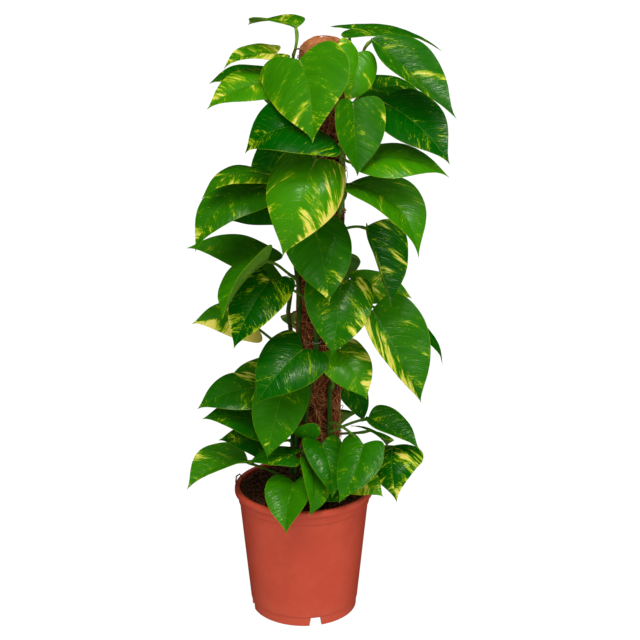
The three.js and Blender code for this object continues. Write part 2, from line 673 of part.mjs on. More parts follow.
let sleeve = toSolid(sleeveBody());
for (const [name, place] of Object.entries(STAPLES)) {
  addPart(name, toGeometry(staple(place)), stapleWire);
  sleeve = sleeve.subtract(staple(place, GAP));
}
addPart("coir_sleeve", toGeometry(sleeve), coirFibre);

for (const name of [LEFT, FRONT, RIGHT, OUTER]) {
  addPart(name, toGeometry(vineWithRoots(name)), vineGreen);
}

const backLeaves = BACK_LEAVES.map((leaf) => leafSolid({ ...leaf, vine: "vine_back" }));
addPart("vine_back", toGeometry(wasm.Manifold.union([vineSolid("vine_back"), ...backLeaves])), leafGreen);

for (const [name, leaf] of Object.entries(LEAVES)) {
  const seated = leafSolid(leaf).subtract(vineSolid(leaf.vine, GAP));
  addPart(name, toGeometry(seated), leafGreen);
}

// The origin is moved to the middle of the footprint, on the ground

const bounds = new THREE.Box3().setFromObject(plant);
const middle = bounds.getCenter(new THREE.Vector3());
plant.position.set(-middle.x, -middle.y, -bounds.min.z);

export default plant;
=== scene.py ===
"""Golden pothos on a coir pole in a plastic pot, dressed on its frame. Named sizes are in mm."""
import math
import random
from typing import NamedTuple

import bpy
from mathutils import Matrix, Vector, noise


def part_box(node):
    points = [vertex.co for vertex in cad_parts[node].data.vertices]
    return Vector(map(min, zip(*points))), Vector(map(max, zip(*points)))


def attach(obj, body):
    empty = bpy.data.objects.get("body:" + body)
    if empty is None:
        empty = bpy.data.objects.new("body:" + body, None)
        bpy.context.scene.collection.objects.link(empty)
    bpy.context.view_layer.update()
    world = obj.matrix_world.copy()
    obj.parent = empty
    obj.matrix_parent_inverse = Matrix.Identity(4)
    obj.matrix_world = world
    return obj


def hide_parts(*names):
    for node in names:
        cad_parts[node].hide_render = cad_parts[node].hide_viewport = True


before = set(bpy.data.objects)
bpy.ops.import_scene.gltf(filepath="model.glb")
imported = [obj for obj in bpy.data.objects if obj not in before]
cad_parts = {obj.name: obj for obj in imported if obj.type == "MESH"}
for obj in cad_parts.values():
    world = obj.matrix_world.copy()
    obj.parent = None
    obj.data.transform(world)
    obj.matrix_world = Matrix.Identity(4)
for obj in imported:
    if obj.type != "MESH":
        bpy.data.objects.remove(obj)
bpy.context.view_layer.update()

# The studio: a pale floor, broad soft lamps of which the upper left is the strongest, and three
# small lamps that alone give glints. The camera looks 16.9 degrees down, from 1.6 m in front.
MM = 0.001
pot_low, pot_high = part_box("pot")
POT_AXIS = Vector(((pot_low[0] + pot_high[0]) / 2, (pot_low[1] + pot_high[1]) / 2, 0))


def place(x, y, z):
    """A point given in millimetres from the pot's axis on the ground."""
    return POT_AXIS + Vector((x, y, z)) * MM


def node(tree, kind, values=None, **settings):
    """Adds a shader node; values are set on its inputs, or linked where they are sockets."""
    made = tree.nodes.new(kind)
    for key, value in settings.items():
        setattr(made, key, value)
    for key, value in (values or {}).items():
        if isinstance(value, bpy.types.NodeSocket):
            tree.links.new(value, made.inputs[key])
        else:
            made.inputs[key].default_value = value
    return made


def colour_mix(tree, factor, first, second, mode="MIX"):
    values = {0: factor, 6: first, 7: second}
    return node(tree, "ShaderNodeMix", values, data_type="RGBA", blend_type=mode).outputs[2]


def srgb(red, green, blue):
    """A linear colour from the 0 to 255 values that a screen shows."""
    def linear(value):
        share = value / 255
        return share / 12.92 if share <= 0.04045 else ((share + 0.055) / 1.055) ** 2.4
    return (linear(red), linear(green), linear(blue), 1)


def new_material(name, **settings):
    """A material with only its shader, whose even values are set by name."""
    material = bpy.data.materials.new(name)
    material.use_nodes = True
    shader = material.node_tree.nodes["Principled BSDF"]
    for key, value in settings.items():
        shader.inputs[key.replace("_", " ").title().replace("Ior", "IOR")].default_value = value
    return material, material.node_tree, shader


def deselect():
    if bpy.context.object and bpy.context.object.mode != "OBJECT":
        bpy.ops.object.mode_set(mode="OBJECT")
    bpy.ops.object.select_all(action="DESELECT")


FLOOR_REACH = 60
WORLD_STRENGTH = 0.3
CAMERA_PLACE = (19.8, -1588.2, 852)
CAMERA_PITCH = 16.88
CAMERA_LENS = 78.75

scene = bpy.context.scene
scene.view_settings.view_transform = "Standard"

deselect()
bpy.ops.mesh.primitive_plane_add(size=FLOOR_REACH)
floor = bpy.context.object
floor.name = "floor"
floor_material, floor_tree, floor_shader = new_material(
    "pale_floor", roughness=0.95, emission_color=(1, 1, 1, 1), emission_strength=1.0,
)
floor_grain = node(floor_tree, "ShaderNodeTexNoise", {"Scale": 3.0, "Detail": 2.0}).outputs[0]
floor_tree.links.new(
    colour_mix(floor_tree, floor_grain, srgb(52, 52, 52), srgb(58, 58, 58)),
    floor_shader.inputs["Base Color"],
)
floor.data.materials.append(floor_material)
floor.visible_glossy = False

world = bpy.data.worlds.new("studio")
world.use_nodes = True
background = world.node_tree.nodes["Background"].inputs
background["Color"].default_value = (1, 1, 1, 1)
background["Strength"].default_value = WORLD_STRENGTH
world.cycles_visibility.glossy = False
scene.world = world


def facing(turn, rise):
    """A direction, by its degrees round from the front and up."""
    turn, rise = math.radians(turn), math.radians(rise)
    return Vector((math.sin(turn) * math.cos(rise), -math.cos(turn) * math.cos(rise), math.sin(rise)))


def softbox(name, azimuth, elevation, strength, spread, glints=False):
    """A distant lamp, where azimuth 0 is the camera's side and 90 its right."""
    lamp = bpy.data.lights.new(name, "SUN")
    lamp.energy = strength
    lamp.angle = math.radians(spread)
    holder = bpy.data.objects.new(name, lamp)
    holder.visible_glossy = glints
    holder.rotation_euler = facing(azimuth, elevation).to_track_quat("Z", "Y").to_euler()
    scene.collection.objects.link(holder)


softbox("key_left", -30, 50, 1.2, 44)
softbox("top", 8, 76, 0.62, 30)
softbox("glint_top", 15, 66, 0.5, 11, True)
softbox("glint_right", 85, 44, 0.45, 10, True)
softbox("glint_front", 30, 8, 0.12, 8, True)
softbox("fill_right", 55, 26, 0.78, 44)
softbox("back", 165, 50, 0.7, 50)

camera = bpy.data.objects.new("camera", bpy.data.cameras.new("camera"))
camera.data.sensor_width = 36
camera.data.lens = CAMERA_LENS
camera.location = place(*CAMERA_PLACE)
camera.rotation_euler = (math.radians(90 - CAMERA_PITCH), 0, 0)
camera.data.clip_end = 100
scene.collection.objects.link(camera)
scene.camera = camera

# The pot: one injection-moulded shell of terracotta-coloured polypropylene, 2.2 mm thick.
# It has a rolled rim bead over a shallow collar, and a foot ring that drainage notches cut.
POT_HEIGHT = 160
RIM_RADIUS = 85
RIM_BEAD = 8.5
COLLAR_RADIUS = 80.5
COLLAR_FOOT = 141
FOOT_RADIUS = 65
FOOT_HEIGHT = 13
FLOOR_UNDERSIDE = 12.5
FLOOR_TOP = 15
POT_WALL = 2.2
POT_STEPS = 120
NOTCH_WIDTH = 16
NOTCH_TAPER = 2
NOTCH_REACH = 14
NOTCH_TURN = 12.9
DRAIN_RADIUS = 4.5
DRAIN_CIRCLE = 40
DUST_HEIGHT = 50

WALL_LOW = FOOT_RADIUS + 1.6
WALL_HIGH = COLLAR_RADIUS - 1.4


def pot_inside(height):
    """The pot's inner radius at a height above its floor."""
    share = (height - FLOOR_TOP) / (COLLAR_FOOT - FLOOR_TOP)
    return WALL_LOW + (WALL_HIGH - WALL_LOW) * share - POT_WALL


def arc(centre_x, centre_z, radius, start, end, steps):
    """Points along an arc in the profile's plane, with its angles in degrees from outwards."""
    turns = [math.radians(start + (end - start) * i / steps) for i in range(steps + 1)]
    return [(centre_x + radius * math.cos(t), centre_z + radius * math.sin(t)) for t in turns]


def make_active(piece):
    deselect()
    piece.select_set(True)
    bpy.context.view_layer.objects.active = piece


def spin_profile(name, profile, steps):
    """A closed body turned about the pot's axis from a profile of (radius, height) in mm."""
    mesh = bpy.data.meshes.new(name)
    corners = [place(radius, 0, height) for radius, height in profile]
    mesh.from_pydata(corners, [(i, i + 1) for i in range(len(corners) - 1)], [])
    piece = bpy.data.objects.new(name, mesh)
    scene.collection.objects.link(piece)
    make_active(piece)
    bpy.ops.object.mode_set(mode="EDIT")
    bpy.ops.mesh.select_all(action="SELECT")
    bpy.ops.mesh.spin(steps=steps, angle=2 * math.pi, center=POT_AXIS, axis=(0, 0, 1))
    bpy.ops.mesh.select_all(action="SELECT")
    bpy.ops.mesh.remove_doubles(threshold=1e-5)
    bpy.ops.mesh.normals_make_consistent(inside=False)
    bpy.ops.object.mode_set(mode="OBJECT")
    return piece


pot_profile = [
    (0, FLOOR_UNDERSIDE),
    (FOOT_RADIUS - 4.2, FLOOR_UNDERSIDE),
    (FOOT_RADIUS - 3.6, FLOOR_UNDERSIDE - 0.8),
    *arc(FOOT_RADIUS - 2.6, 0.6, 0.6, 180, 270, 3),
    *arc(FOOT_RADIUS - 0.8, 0.8, 0.8, 270, 360, 4),
    (FOOT_RADIUS + 0.5, FOOT_HEIGHT - 1.2),
    *arc(FOOT_RADIUS + 1.1, FOOT_HEIGHT - 0.2, 0.5, 270, 350, 3),
    (WALL_LOW + 0.1, FOOT_HEIGHT + 1),
    (WALL_HIGH - 0.1, COLLAR_FOOT - 0.8),
    *arc(COLLAR_RADIUS - 0.9, COLLAR_FOOT + 0.8, 0.8, 280, 360, 3),
    (COLLAR_RADIUS, POT_HEIGHT - RIM_BEAD - 0.4),
    *arc(RIM_RADIUS - 2.2, POT_HEIGHT - RIM_BEAD + 2.2, 2.2, 260, 360, 6),
    *arc(RIM_RADIUS - 3.4, POT_HEIGHT - 3.4, 3.4, 0, 90, 8),
    *arc(RIM_RADIUS - 4.4, POT_HEIGHT - 2.2, 2.2, 90, 180, 5),
    (pot_inside(COLLAR_FOOT) + 0.1, COLLAR_FOOT + 1),
    (pot_inside(COLLAR_FOOT), COLLAR_FOOT - 1),
    (pot_inside(FLOOR_TOP + 3), FLOOR_TOP + 3),
    (pot_inside(FLOOR_TOP) - 3, FLOOR_TOP),
    (0, FLOOR_TOP),
]
pot_shell = spin_profile("pot_shell", pot_profile, POT_STEPS)


def apply_modifier(piece, kind, **settings):
    make_active(piece)
    modifier = piece.modifiers.new(kind.title(), kind)
    for key, value in settings.items():
        setattr(modifier, key, value)
    bpy.ops.object.modifier_apply(modifier=modifier.name)


def cut_away(piece, cutter):
    apply_modifier(piece, "BOOLEAN", operation="DIFFERENCE", object=cutter, solver="EXACT")
    bpy.data.objects.remove(cutter)


for quarter in range(4):
    outwards = facing(NOTCH_TURN + 90 * quarter, 0)
    sideways = Vector((-outwards.y, outwards.x, 0))
    notch_top = FLOOR_UNDERSIDE - 1.5
    deselect()
    bpy.ops.mesh.primitive_cube_add(size=1)
    notch = bpy.context.object
    for corner in notch.data.vertices:
        upper = corner.co.z > 0
        across = math.copysign(NOTCH_WIDTH / 2 - (NOTCH_TAPER if upper else 0), corner.co.x)
        spot = outwards * (FOOT_RADIUS - 1.6 + corner.co.y * NOTCH_REACH) + sideways * across
        corner.co = place(spot.x, spot.y, notch_top if upper else -2)
    apply_modifier(notch, "BEVEL", width=0.6 * MM, segments=2)
    make_active(notch)
    bpy.ops.object.mode_set(mode="EDIT")
    bpy.ops.mesh.select_all(action="SELECT")
    bpy.ops.mesh.normals_make_consistent(inside=False)
    bpy.ops.object.mode_set(mode="OBJECT")
    cut_away(pot_shell, notch)

drain_places = [(0, 0)]
for quarter in range(4):
    turn = math.radians(NOTCH_TURN + 45 + 90 * quarter)
    drain_places.append((DRAIN_CIRCLE * math.sin(turn), DRAIN_CIRCLE * math.cos(turn)))
for x, y in drain_places:
    deselect()
    bpy.ops.mesh.primitive_cylinder_add(
        vertices=32, radius=DRAIN_RADIUS * MM, depth=8 * MM, location=place(x, y, FLOOR_TOP),
    )
    drain = bpy.context.object
    bpy.ops.object.transform_apply()
    cut_away(pot_shell, drain)
make_active(pot_shell)
bpy.ops.object.shade_smooth_by_angle(angle=math.radians(32))


def math_node(tree, operation, *values):
    return node(tree, "ShaderNodeMath", dict(enumerate(values)), operation=operation).outputs[0]


def product(tree, first, second):
    return math_node(tree, "MULTIPLY", first, second)


def smooth_step(tree, value, low, high):
    """0 below low, 1 above high, and smooth between them."""
    values = {"Value": value, "From Min": low, "From Max": high}
    return node(tree, "ShaderNodeMapRange", values, interpolation_type="SMOOTHSTEP").outputs[0]


def fade_out(tree, value, low, high):
    """1 below low, 0 above high, and smooth between them."""
    return math_node(tree, "SUBTRACT", 1.0, smooth_step(tree, value, low, high))


def object_spot(tree):
    return node(tree, "ShaderNodeTexCoord").outputs["Object"]


def height_of(tree, spot):
    return node(tree, "ShaderNodeSeparateXYZ", {0: spot}).outputs[2]


def noise_at(tree, spot, scale, detail=2.0):
    values = {"Vector": spot, "Scale": scale, "Detail": detail}
    return node(tree, "ShaderNodeTexNoise", values).outputs[0]


def drawn_out(tree, spot, scales):
    """The place, squeezed so that a pattern on it is drawn out along the pole."""
    return node(tree, "ShaderNodeMapping", {"Vector": spot, "Scale": scales}).outputs[0]


def set_colour(tree, shader, colour):
    tree.links.new(colour, shader.inputs["Base Color"])


def set_roughness(tree, shader, mask, low, high):
    """Roughness from low where the mask is 0 to high where it is 1."""
    values = {"Value": mask, "To Min": low, "To Max": high}
    tree.links.new(node(tree, "ShaderNodeMapRange", values).outputs[0], shader.inputs["Roughness"])


def set_relief(tree, shader, height, strength, distance):
    values = {"Strength": strength, "Distance": distance, "Height": height}
    tree.links.new(node(tree, "ShaderNodeBump", values).outputs[0], shader.inputs["Normal"])


def mottle_group():
    """Cloudy patches at two sizes, as a mask from 0 to 1, for any surface that is uneven in tone."""
    group = bpy.data.node_groups.new("mottle", "ShaderNodeTree")
    group.interface.new_socket("Size", in_out="INPUT", socket_type="NodeSocketFloat")
    group.interface.new_socket("Mask", in_out="OUTPUT", socket_type="NodeSocketFloat")
    size = group.nodes.new("NodeGroupInput").outputs[0]
    spot = object_spot(group)
    broad = product(group, noise_at(group, spot, size, 3.0), 0.62)
    fine = product(group, noise_at(group, spot, product(group, size, 5.3), 5.0), 0.38)
    result = group.nodes.new("NodeGroupOutput")
    mask = smooth_step(group, math_node(group, "ADD", broad, fine), 0.38, 0.62)
    group.links.new(mask, result.inputs[0])
    return group


mottle = mottle_group()


def mottled(tree, size):
    return node(tree, "ShaderNodeGroup", {"Size": size}, node_tree=mottle).outputs[0]


def pot_plastic():
    """Satin moulded plastic: even terracotta, a faint cloud, painted shade at the sides, dust splashes
    low on the wall.
    """
    material, tree, shader = new_material("pot_plastic", specular_ior_level=0.3)
    spot = object_spot(tree)
    body = colour_mix(tree, mottled(tree, 18.0), srgb(193, 73, 48), srgb(186, 68, 44))
    # Painted shade: the wall darkens towards its outline, where it turns away from view, for the light
    # falling off there.
    painted_shade_facing = node(tree, "ShaderNodeLayerWeight", {"Blend": 0.5}).outputs["Facing"]
    shade = product(tree, smooth_step(tree, painted_shade_facing, 0.25, 0.85), 0.5)
    body = colour_mix(tree, shade, body, srgb(120, 38, 22))
    low = fade_out(tree, height_of(tree, spot), 0.0, DUST_HEIGHT * MM)
    dust = product(tree, product(tree, low, mottled(tree, 90.0)), 0.16)
    set_colour(tree, shader, colour_mix(tree, dust, body, srgb(200, 104, 78)))
    set_roughness(tree, shader, mottled(tree, 60.0), 0.34, 0.44)
    set_relief(tree, shader, noise_at(tree, spot, 900.0), 0.05, 0.0004)
    return material


pot_shell.data.materials.append(pot_plastic())
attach(pot_shell, "root")
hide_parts("pot")

# The soil: peat and bark potting mix, watered and settled a few millimetres below the rim.
# Its top is a crumbly crust with loose lumps, and the pole and the vines stand in it.
SOIL_EDGE = 155
SOIL_CROWN = 159
SOIL_CELLS = 110
CRUMBS = 1100
CRUST_REACH = 76
CRUMB_SPREAD = 75
CRUMB_REACH = 72
POLE_RADIUS = 26
POLE_BASE_X = 13
POLE_SLOPE = math.tan(math.radians(0.9))
SOCKET_HEIGHT = 140


def pole_x(z):
    """How far right of the pot's axis the leaning pole's own axis is at a height, in mm."""
    return POLE_BASE_X + POLE_SLOPE * z


def soil_height(x, y):
    """The crust's height: a low crown at the middle, broken by lumps."""
    away = math.hypot(x, y) / CRUST_REACH
    spot = Vector((x, y, 0))
    lumps = noise.fractal(spot / 9, 0.7, 2.1, 4) * 1.5 + noise.noise(spot / 30) * 1.6
    return SOIL_EDGE + (SOIL_CROWN - SOIL_EDGE) * (1 - away * away) + lumps


soil_radius = pot_inside(SOIL_EDGE) - 0.4
deselect()
bpy.ops.mesh.primitive_grid_add(x_subdivisions=SOIL_CELLS, y_subdivisions=SOIL_CELLS, size=2)
soil_bed = bpy.context.object
soil_bed.name = "soil_bed"
make_active(soil_bed)
bpy.ops.object.mode_set(mode="EDIT")
bpy.ops.mesh.select_all(action="DESELECT")
bpy.ops.mesh.select_mode(type="EDGE")
bpy.ops.mesh.select_non_manifold()
bpy.ops.mesh.extrude_region_move(TRANSFORM_OT_translate={"value": (0, 0, -1)})
bpy.ops.mesh.edge_face_add()
bpy.ops.mesh.select_all(action="SELECT")
bpy.ops.mesh.normals_make_consistent(inside=False)
bpy.ops.object.mode_set(mode="OBJECT")
for corner in soil_bed.data.vertices:
    u, v, level = corner.co
    reach = soil_radius if level > -0.5 else pot_inside(FLOOR_TOP) - 3.2
    x = u * math.sqrt(1 - v * v / 2) * reach
    y = v * math.sqrt(1 - u * u / 2) * reach
    corner.co = place(x, y, soil_height(x, y) if level > -0.5 else FLOOR_TOP + 0.4)
deselect()
bpy.ops.mesh.primitive_cylinder_add(
    vertices=48, radius=(POLE_RADIUS + 0.3) * MM, depth=120 * MM,
    location=place(pole_x(SOCKET_HEIGHT), 0, 120),
)
pole_socket = bpy.context.object
bpy.ops.object.transform_apply()
cut_away(soil_bed, pole_socket)
make_active(soil_bed)
bpy.ops.object.shade_smooth_by_angle(angle=math.radians(60))


def merged_lumps(name, lumps):
    """One mesh from low lumps, each a squashed icosphere given as (place, size, turn)."""
    deselect()
    bpy.ops.mesh.primitive_ico_sphere_add(subdivisions=1, radius=1)
    ball = bpy.context.object
    corners, faces = [], []
    for centre, size, turn in lumps:
        first = len(corners)
        reshape = Matrix.Translation(centre) @ turn @ Matrix.Diagonal((*size, 1))
        corners += [reshape @ corner.co for corner in ball.data.vertices]
        faces += [[first + i for i in face.vertices] for face in ball.data.polygons]
    bpy.data.objects.remove(ball)
    mesh = bpy.data.meshes.new(name)
    mesh.from_pydata(corners, [], faces)
    piece = bpy.data.objects.new(name, mesh)
    scene.collection.objects.link(piece)
    return piece


draw = random.Random(7)
lumps = []
while len(lumps) < CRUMBS:
    x, y = (draw.uniform(-CRUMB_SPREAD, CRUMB_SPREAD) for _ in range(2))
    from_pole = math.hypot(x - pole_x(SOCKET_HEIGHT), y)
    if math.hypot(x, y) > CRUMB_REACH or from_pole < POLE_RADIUS + 2:
        continue
    grain = draw.uniform(0.7, 1.9) if draw.random() < 0.85 else draw.uniform(2, 3.4)
    size = [grain * draw.uniform(0.7, 1.2) * MM for _ in range(3)]
    turn = Matrix.Rotation(draw.uniform(0, 6.28), 4, (draw.random(), draw.random(), 0.4))
    lumps.append((place(x, y, soil_height(x, y) + grain * 0.25), size, turn))
soil_crumbs = merged_lumps("soil_crumbs", lumps)


def potting_soil():
    """Dark moist peat with paler bark crumbs, matt all over."""
    material, tree, shader = new_material("potting_soil", roughness=0.92, specular_ior_level=0.2)
    spot = object_spot(tree)
    base = colour_mix(tree, mottled(tree, 120.0), srgb(26, 13, 7), srgb(64, 34, 19))
    cells = node(tree, "ShaderNodeTexVoronoi", {"Vector": spot, "Scale": 420.0}).outputs[0]
    bark = smooth_step(tree, cells, 0.55, 0.8)
    set_colour(tree, shader, colour_mix(tree, bark, base, srgb(92, 54, 32)))
    set_relief(tree, shader, noise_at(tree, spot, 500.0, 8.0), 0.8, 0.001)
    return material


soil_material = potting_soil()
for piece in (soil_bed, soil_crumbs):
    piece.data.materials.append(soil_material)
    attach(piece, "root")
    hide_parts("soil")

# The stake inside the pole: a planed round softwood rod, pointed at its foot and pushed into
# the soil. The sleeve hides the rest of it.


def stake_wood():
    """Softwood with its grain along the stake."""
    material, tree, shader = new_material("stake_wood", roughness=0.75)
    rings = noise_at(tree, drawn_out(tree, object_spot(tree), (260, 260, 9)), 1.0, 5.0)
    shade = smooth_step(tree, rings, 0.35, 0.65)
    set_colour(tree, shader, colour_mix(tree, shade, srgb(152, 108, 62), srgb(196, 156, 104)))
    set_relief(tree, shader, rings, 0.3, 0.0003)
    return material


def dress(name, material):
    """Gives a node of the frame its material in place of the plain one."""
    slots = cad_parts[name].data.materials
    slots.clear()
    slots.append(material)


dress("core_stake", stake_wood())

# The coir sleeve: coconut fibre matted round the stake and closed over its top, held by its
# own tangle. A dark rough mat lies under thousands of springy red-brown strands; its darkness
# is painted shade of the deep tangle.
POLE_TOP = 700
DOME_HEIGHT = 15
SLEEVE_FOOT = 60
FOOT_LEVEL = 0.02
DOME_LEVEL = 0.96
STRANDS = 1350
PALE_STRANDS = 760
LOOSE_STRANDS = 70
STRANDS_START = 118
STRANDS_LOWEST = 112
STRAND_RADIUS = 0.45
CAP_STRANDS = 300
CAP_REACH = 23.5
CAP_STEP = 4
PALER_TOP = (670, 688)

deselect()
bpy.ops.mesh.primitive_uv_sphere_add(segments=72, ring_count=160, radius=1)
coir_mat = bpy.context.object
coir_mat.name = "coir_mat"
straight = POLE_TOP - DOME_HEIGHT
for corner in coir_mat.data.vertices:
    level = 1 - math.acos(max(-1, min(1, corner.co.z))) / math.pi
    turn = math.atan2(corner.co.y, corner.co.x)
    if level > DOME_LEVEL:
        share = (level - DOME_LEVEL) / (1 - DOME_LEVEL) * math.pi / 2
        radius, height = POLE_RADIUS * math.cos(share), straight + DOME_HEIGHT * math.sin(share)
    elif level < FOOT_LEVEL:
        radius, height = POLE_RADIUS * level / FOOT_LEVEL, SLEEVE_FOOT
    else:
        share = (level - FOOT_LEVEL) / (DOME_LEVEL - FOOT_LEVEL)
        radius, height = POLE_RADIUS, SLEEVE_FOOT + (straight - SLEEVE_FOOT) * share
    spot = Vector((math.cos(turn) * POLE_RADIUS, math.sin(turn) * POLE_RADIUS, height))
    worn = noise.fractal(spot / 6, 0.8, 2.2, 4) * 0.7 + noise.noise(spot / 38) * 0.6 - 1.0
    radius = max(radius + (worn if radius > 2 else 0), 0)
    corner.co = place(pole_x(height) + radius * math.cos(turn), radius * math.sin(turn), height)
bpy.ops.object.shade_smooth()


def tube(name, runs, sides=0):
    """Tubes along open runs of (place, radius) points, made as one bevelled curve."""
    curve = bpy.data.curves.new(name, "CURVE")
    curve.dimensions = "3D"
    curve.bevel_depth = 1
    curve.bevel_resolution = sides
    curve.use_fill_caps = True
    for run in runs:
        spline = curve.splines.new("POLY")
        spline.points.add(len(run) - 1)
        for point, (spot, radius) in zip(spline.points, run):
            point.co = (*spot, 1)
            point.radius = radius
    piece = bpy.data.objects.new(name, curve)
    scene.collection.objects.link(piece)
    make_active(piece)
    bpy.ops.object.convert(target="MESH")
    bpy.ops.object.shade_smooth()
    return bpy.context.object


def pole_spot(turn, height, radius):
    """A point on the leaning pole by its turn from the front in radians, in mm."""
    return place(pole_x(height) + radius * math.sin(turn), -radius * math.cos(turn), height)


def strand(draw, loose, count, lowest):
    """One fibre that wanders over the mat; a loose one springs off it in a loop."""
    turn = draw.uniform(0, 2 * math.pi)
    height = draw.uniform(STRANDS_START, straight + 6)
    heading = draw.uniform(0, 2 * math.pi)
    bend = draw.uniform(-0.5, 0.5)
    step = draw.uniform(3.5, 7)
    lift = lowest + draw.uniform(0, 1.0)
    loop = draw.uniform(2, 5) if loose else draw.uniform(0, 0.8)
    run = []
    for i in range(count):
        share = i / (count - 1)
        away = POLE_RADIUS + lift + loop * math.sin(math.pi * share)
        run.append((turn, height, away))
        heading += bend + draw.uniform(-0.35, 0.35)
        turn += step * math.cos(heading) / POLE_RADIUS
        height = max(height + step * math.sin(heading) * 1.1, STRANDS_LOWEST)
        height = min(height, POLE_TOP + 1)
    points = []
    for turn, height, away in run:
        over = max(0, height - straight) / (DOME_HEIGHT + 2)
        away *= math.sqrt(max(0.02, 1 - over * over))
        points.append((pole_spot(turn, height, away), STRAND_RADIUS * draw.uniform(0.7, 1.1) * MM))
    return points


draw = random.Random(21)
coir_strands = tube("coir_strands", [strand(draw, i < LOOSE_STRANDS, 8, -0.2) for i in range(STRANDS)])
pale_runs = [strand(draw, i < LOOSE_STRANDS, 12, 0.2) for i in range(PALE_STRANDS)]
pale_strands = tube("coir_pale_strands", pale_runs)

cap_runs = []
for _ in range(CAP_STRANDS):
    turn, away, heading = draw.uniform(0, 6.28), draw.uniform(0, 24), draw.uniform(0, 6.28)
    x, y = away * math.sin(turn), away * math.cos(turn)
    run = []
    for i in range(8):
        away = min(math.hypot(x, y) / (POLE_RADIUS - 1), 0.99)
        height = straight + DOME_HEIGHT * math.sqrt(1 - away * away) + draw.uniform(-1.2, 0.3)
        run.append((place(pole_x(height) + x, y, height), STRAND_RADIUS * MM))
        heading += draw.uniform(-0.5, 0.5)
        x += CAP_STEP * math.cos(heading)
        y += CAP_STEP * math.sin(heading)
        if math.hypot(x, y) > CAP_REACH:
            x, y = x * 0.85, y * 0.85
    cap_runs.append(run)
coir_cap = tube("coir_cap", cap_runs)


def coir_fibre(name, dark, light):
    """Matted coconut fibre: red-brown strands in every direction, with dark gaps of painted shade
    between.
    """
    material, tree, shader = new_material(name, roughness=0.85, specular_ior_level=0.25)
    spot = object_spot(tree)
    wander = node(tree, "ShaderNodeTexNoise", {"Vector": spot, "Scale": 90.0, "Detail": 3.0}).outputs[1]
    bent = colour_mix(tree, 0.02, spot, wander, "ADD")
    cross = []
    for turn in ((0.5, 0.3, 0.2), (-0.7, 0.4, 1.1)):
        values = {"Vector": bent, "Rotation": turn, "Scale": (700, 700, 60)}
        cross.append(noise_at(tree, node(tree, "ShaderNodeMapping", values).outputs[0], 1.0))
    hair = smooth_step(tree, math_node(tree, "MAXIMUM", *cross), 0.45, 0.68)
    tone = product(tree, hair, math_node(tree, "ADD", mottled(tree, 55.0), 0.35))
    fibre = colour_mix(tree, tone, dark, light)
    # The fibre turns paler towards the top of the sleeve and over its closed top.
    low, high = (height * MM for height in PALER_TOP)
    top_paling = product(tree, smooth_step(tree, height_of(tree, spot), low, high), 0.88)
    set_colour(tree, shader, colour_mix(tree, top_paling, fibre, srgb(232, 150, 92)))
    set_relief(tree, shader, hair, 0.9, 0.0012)
    return material


# The mat's darkest tone is painted shade deep in the tangle under the strands.
coir_mat.data.materials.append(coir_fibre("coir_mat", srgb(44, 19, 9), srgb(140, 70, 38)))
coir_strands.data.materials.append(coir_fibre("coir_strand", srgb(124, 56, 26), srgb(200, 108, 60)))
pale_fibre = coir_fibre("coir_pale_strand", srgb(166, 100, 50), srgb(236, 170, 108))
pale_strands.data.materials.append(pale_fibre)
coir_cap.data.materials.append(coir_fibre("coir_cap_strand", srgb(150, 80, 42), srgb(214, 132, 82)))
for piece in (coir_mat, coir_strands, pale_strands, coir_cap):
    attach(piece, "root")
    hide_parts("coir_sleeve")

# The vines: five satin green climbing stems that root in the soil and hug the pole. They swell
# at each leaf's node, where aerial roots push into the coir and hold them to it.
VINE_RADIUS = 3
VINE_ROOT = 105
VINE_DISTANCE = POLE_RADIUS + VINE_RADIUS + 0.5
YOUNG = (440, 540)
NODE_SWELL = 3.2
TIP_TAPER = 6
STEM_STEP = 3
OLD_ROOTS = 172

LEFT = "vine_front_left"
FRONT = "vine_front"
RIGHT = "vine_right"
OUTER = "vine_left"
BACK = "vine_back"

# Knots: turn about the pole from its front in degrees, height and distance in mm
VINES = {
    LEFT: [
        (-58, 140), (-56, 260), (-52, 345), (-54, 414), (-78, 455, 31), (-85, 560, 30), (-92, 640, 30),
    ],
    FRONT: [
        (-38, 140), (-30, 235), (-27, 270), (-15, 310), (-5, 345), (-8, 380), (-28, 404), (-24, 500),
        (-14, 600), (-20, 672),
    ],
    RIGHT: [
        (30, 140), (28, 290), (39, 312), (55, 400, 30), (38, 494, 30), (62, 530, 30), (50, 560, 30),
        (45, 588, 30), (66, 630, 30), (84, 662, 30),
    ],
    OUTER: [(-88, 140, 30), (-90, 250, 30), (-86, 340, 31), (-92, 380, 37), (-88, 420, 32)],
    BACK: [(170, 140, 30), (200, 260, 30), (165, 400, 30), (195, 540, 30), (160, 655, 30)],
}


def vine_at(name, z):
    """The vine's centre at a height, as (turn in radians, distance in mm)."""
    knots = [(*knot, VINE_DISTANCE)[:3] for knot in VINES[name]]
    knots.insert(0, (knots[0][0], VINE_ROOT, knots[0][2]))
    for low, high in zip(knots, knots[1:]):
        if z <= high[1]:
            break
    share = min(max((z - low[1]) / (high[1] - low[1]), 0), 1)
    turn = low[0] + (high[0] - low[0]) * share
    return math.radians(turn), low[2] + (high[2] - low[2]) * share


def vine_place(name, z):
    turn, away = vine_at(name, z)
    return pole_spot(turn, z, away)


def vine_out(name, z):
    """Straight out from the pole at the vine."""
    turn, _ = vine_at(name, z)
    return Vector((math.sin(turn), -math.cos(turn), 0))


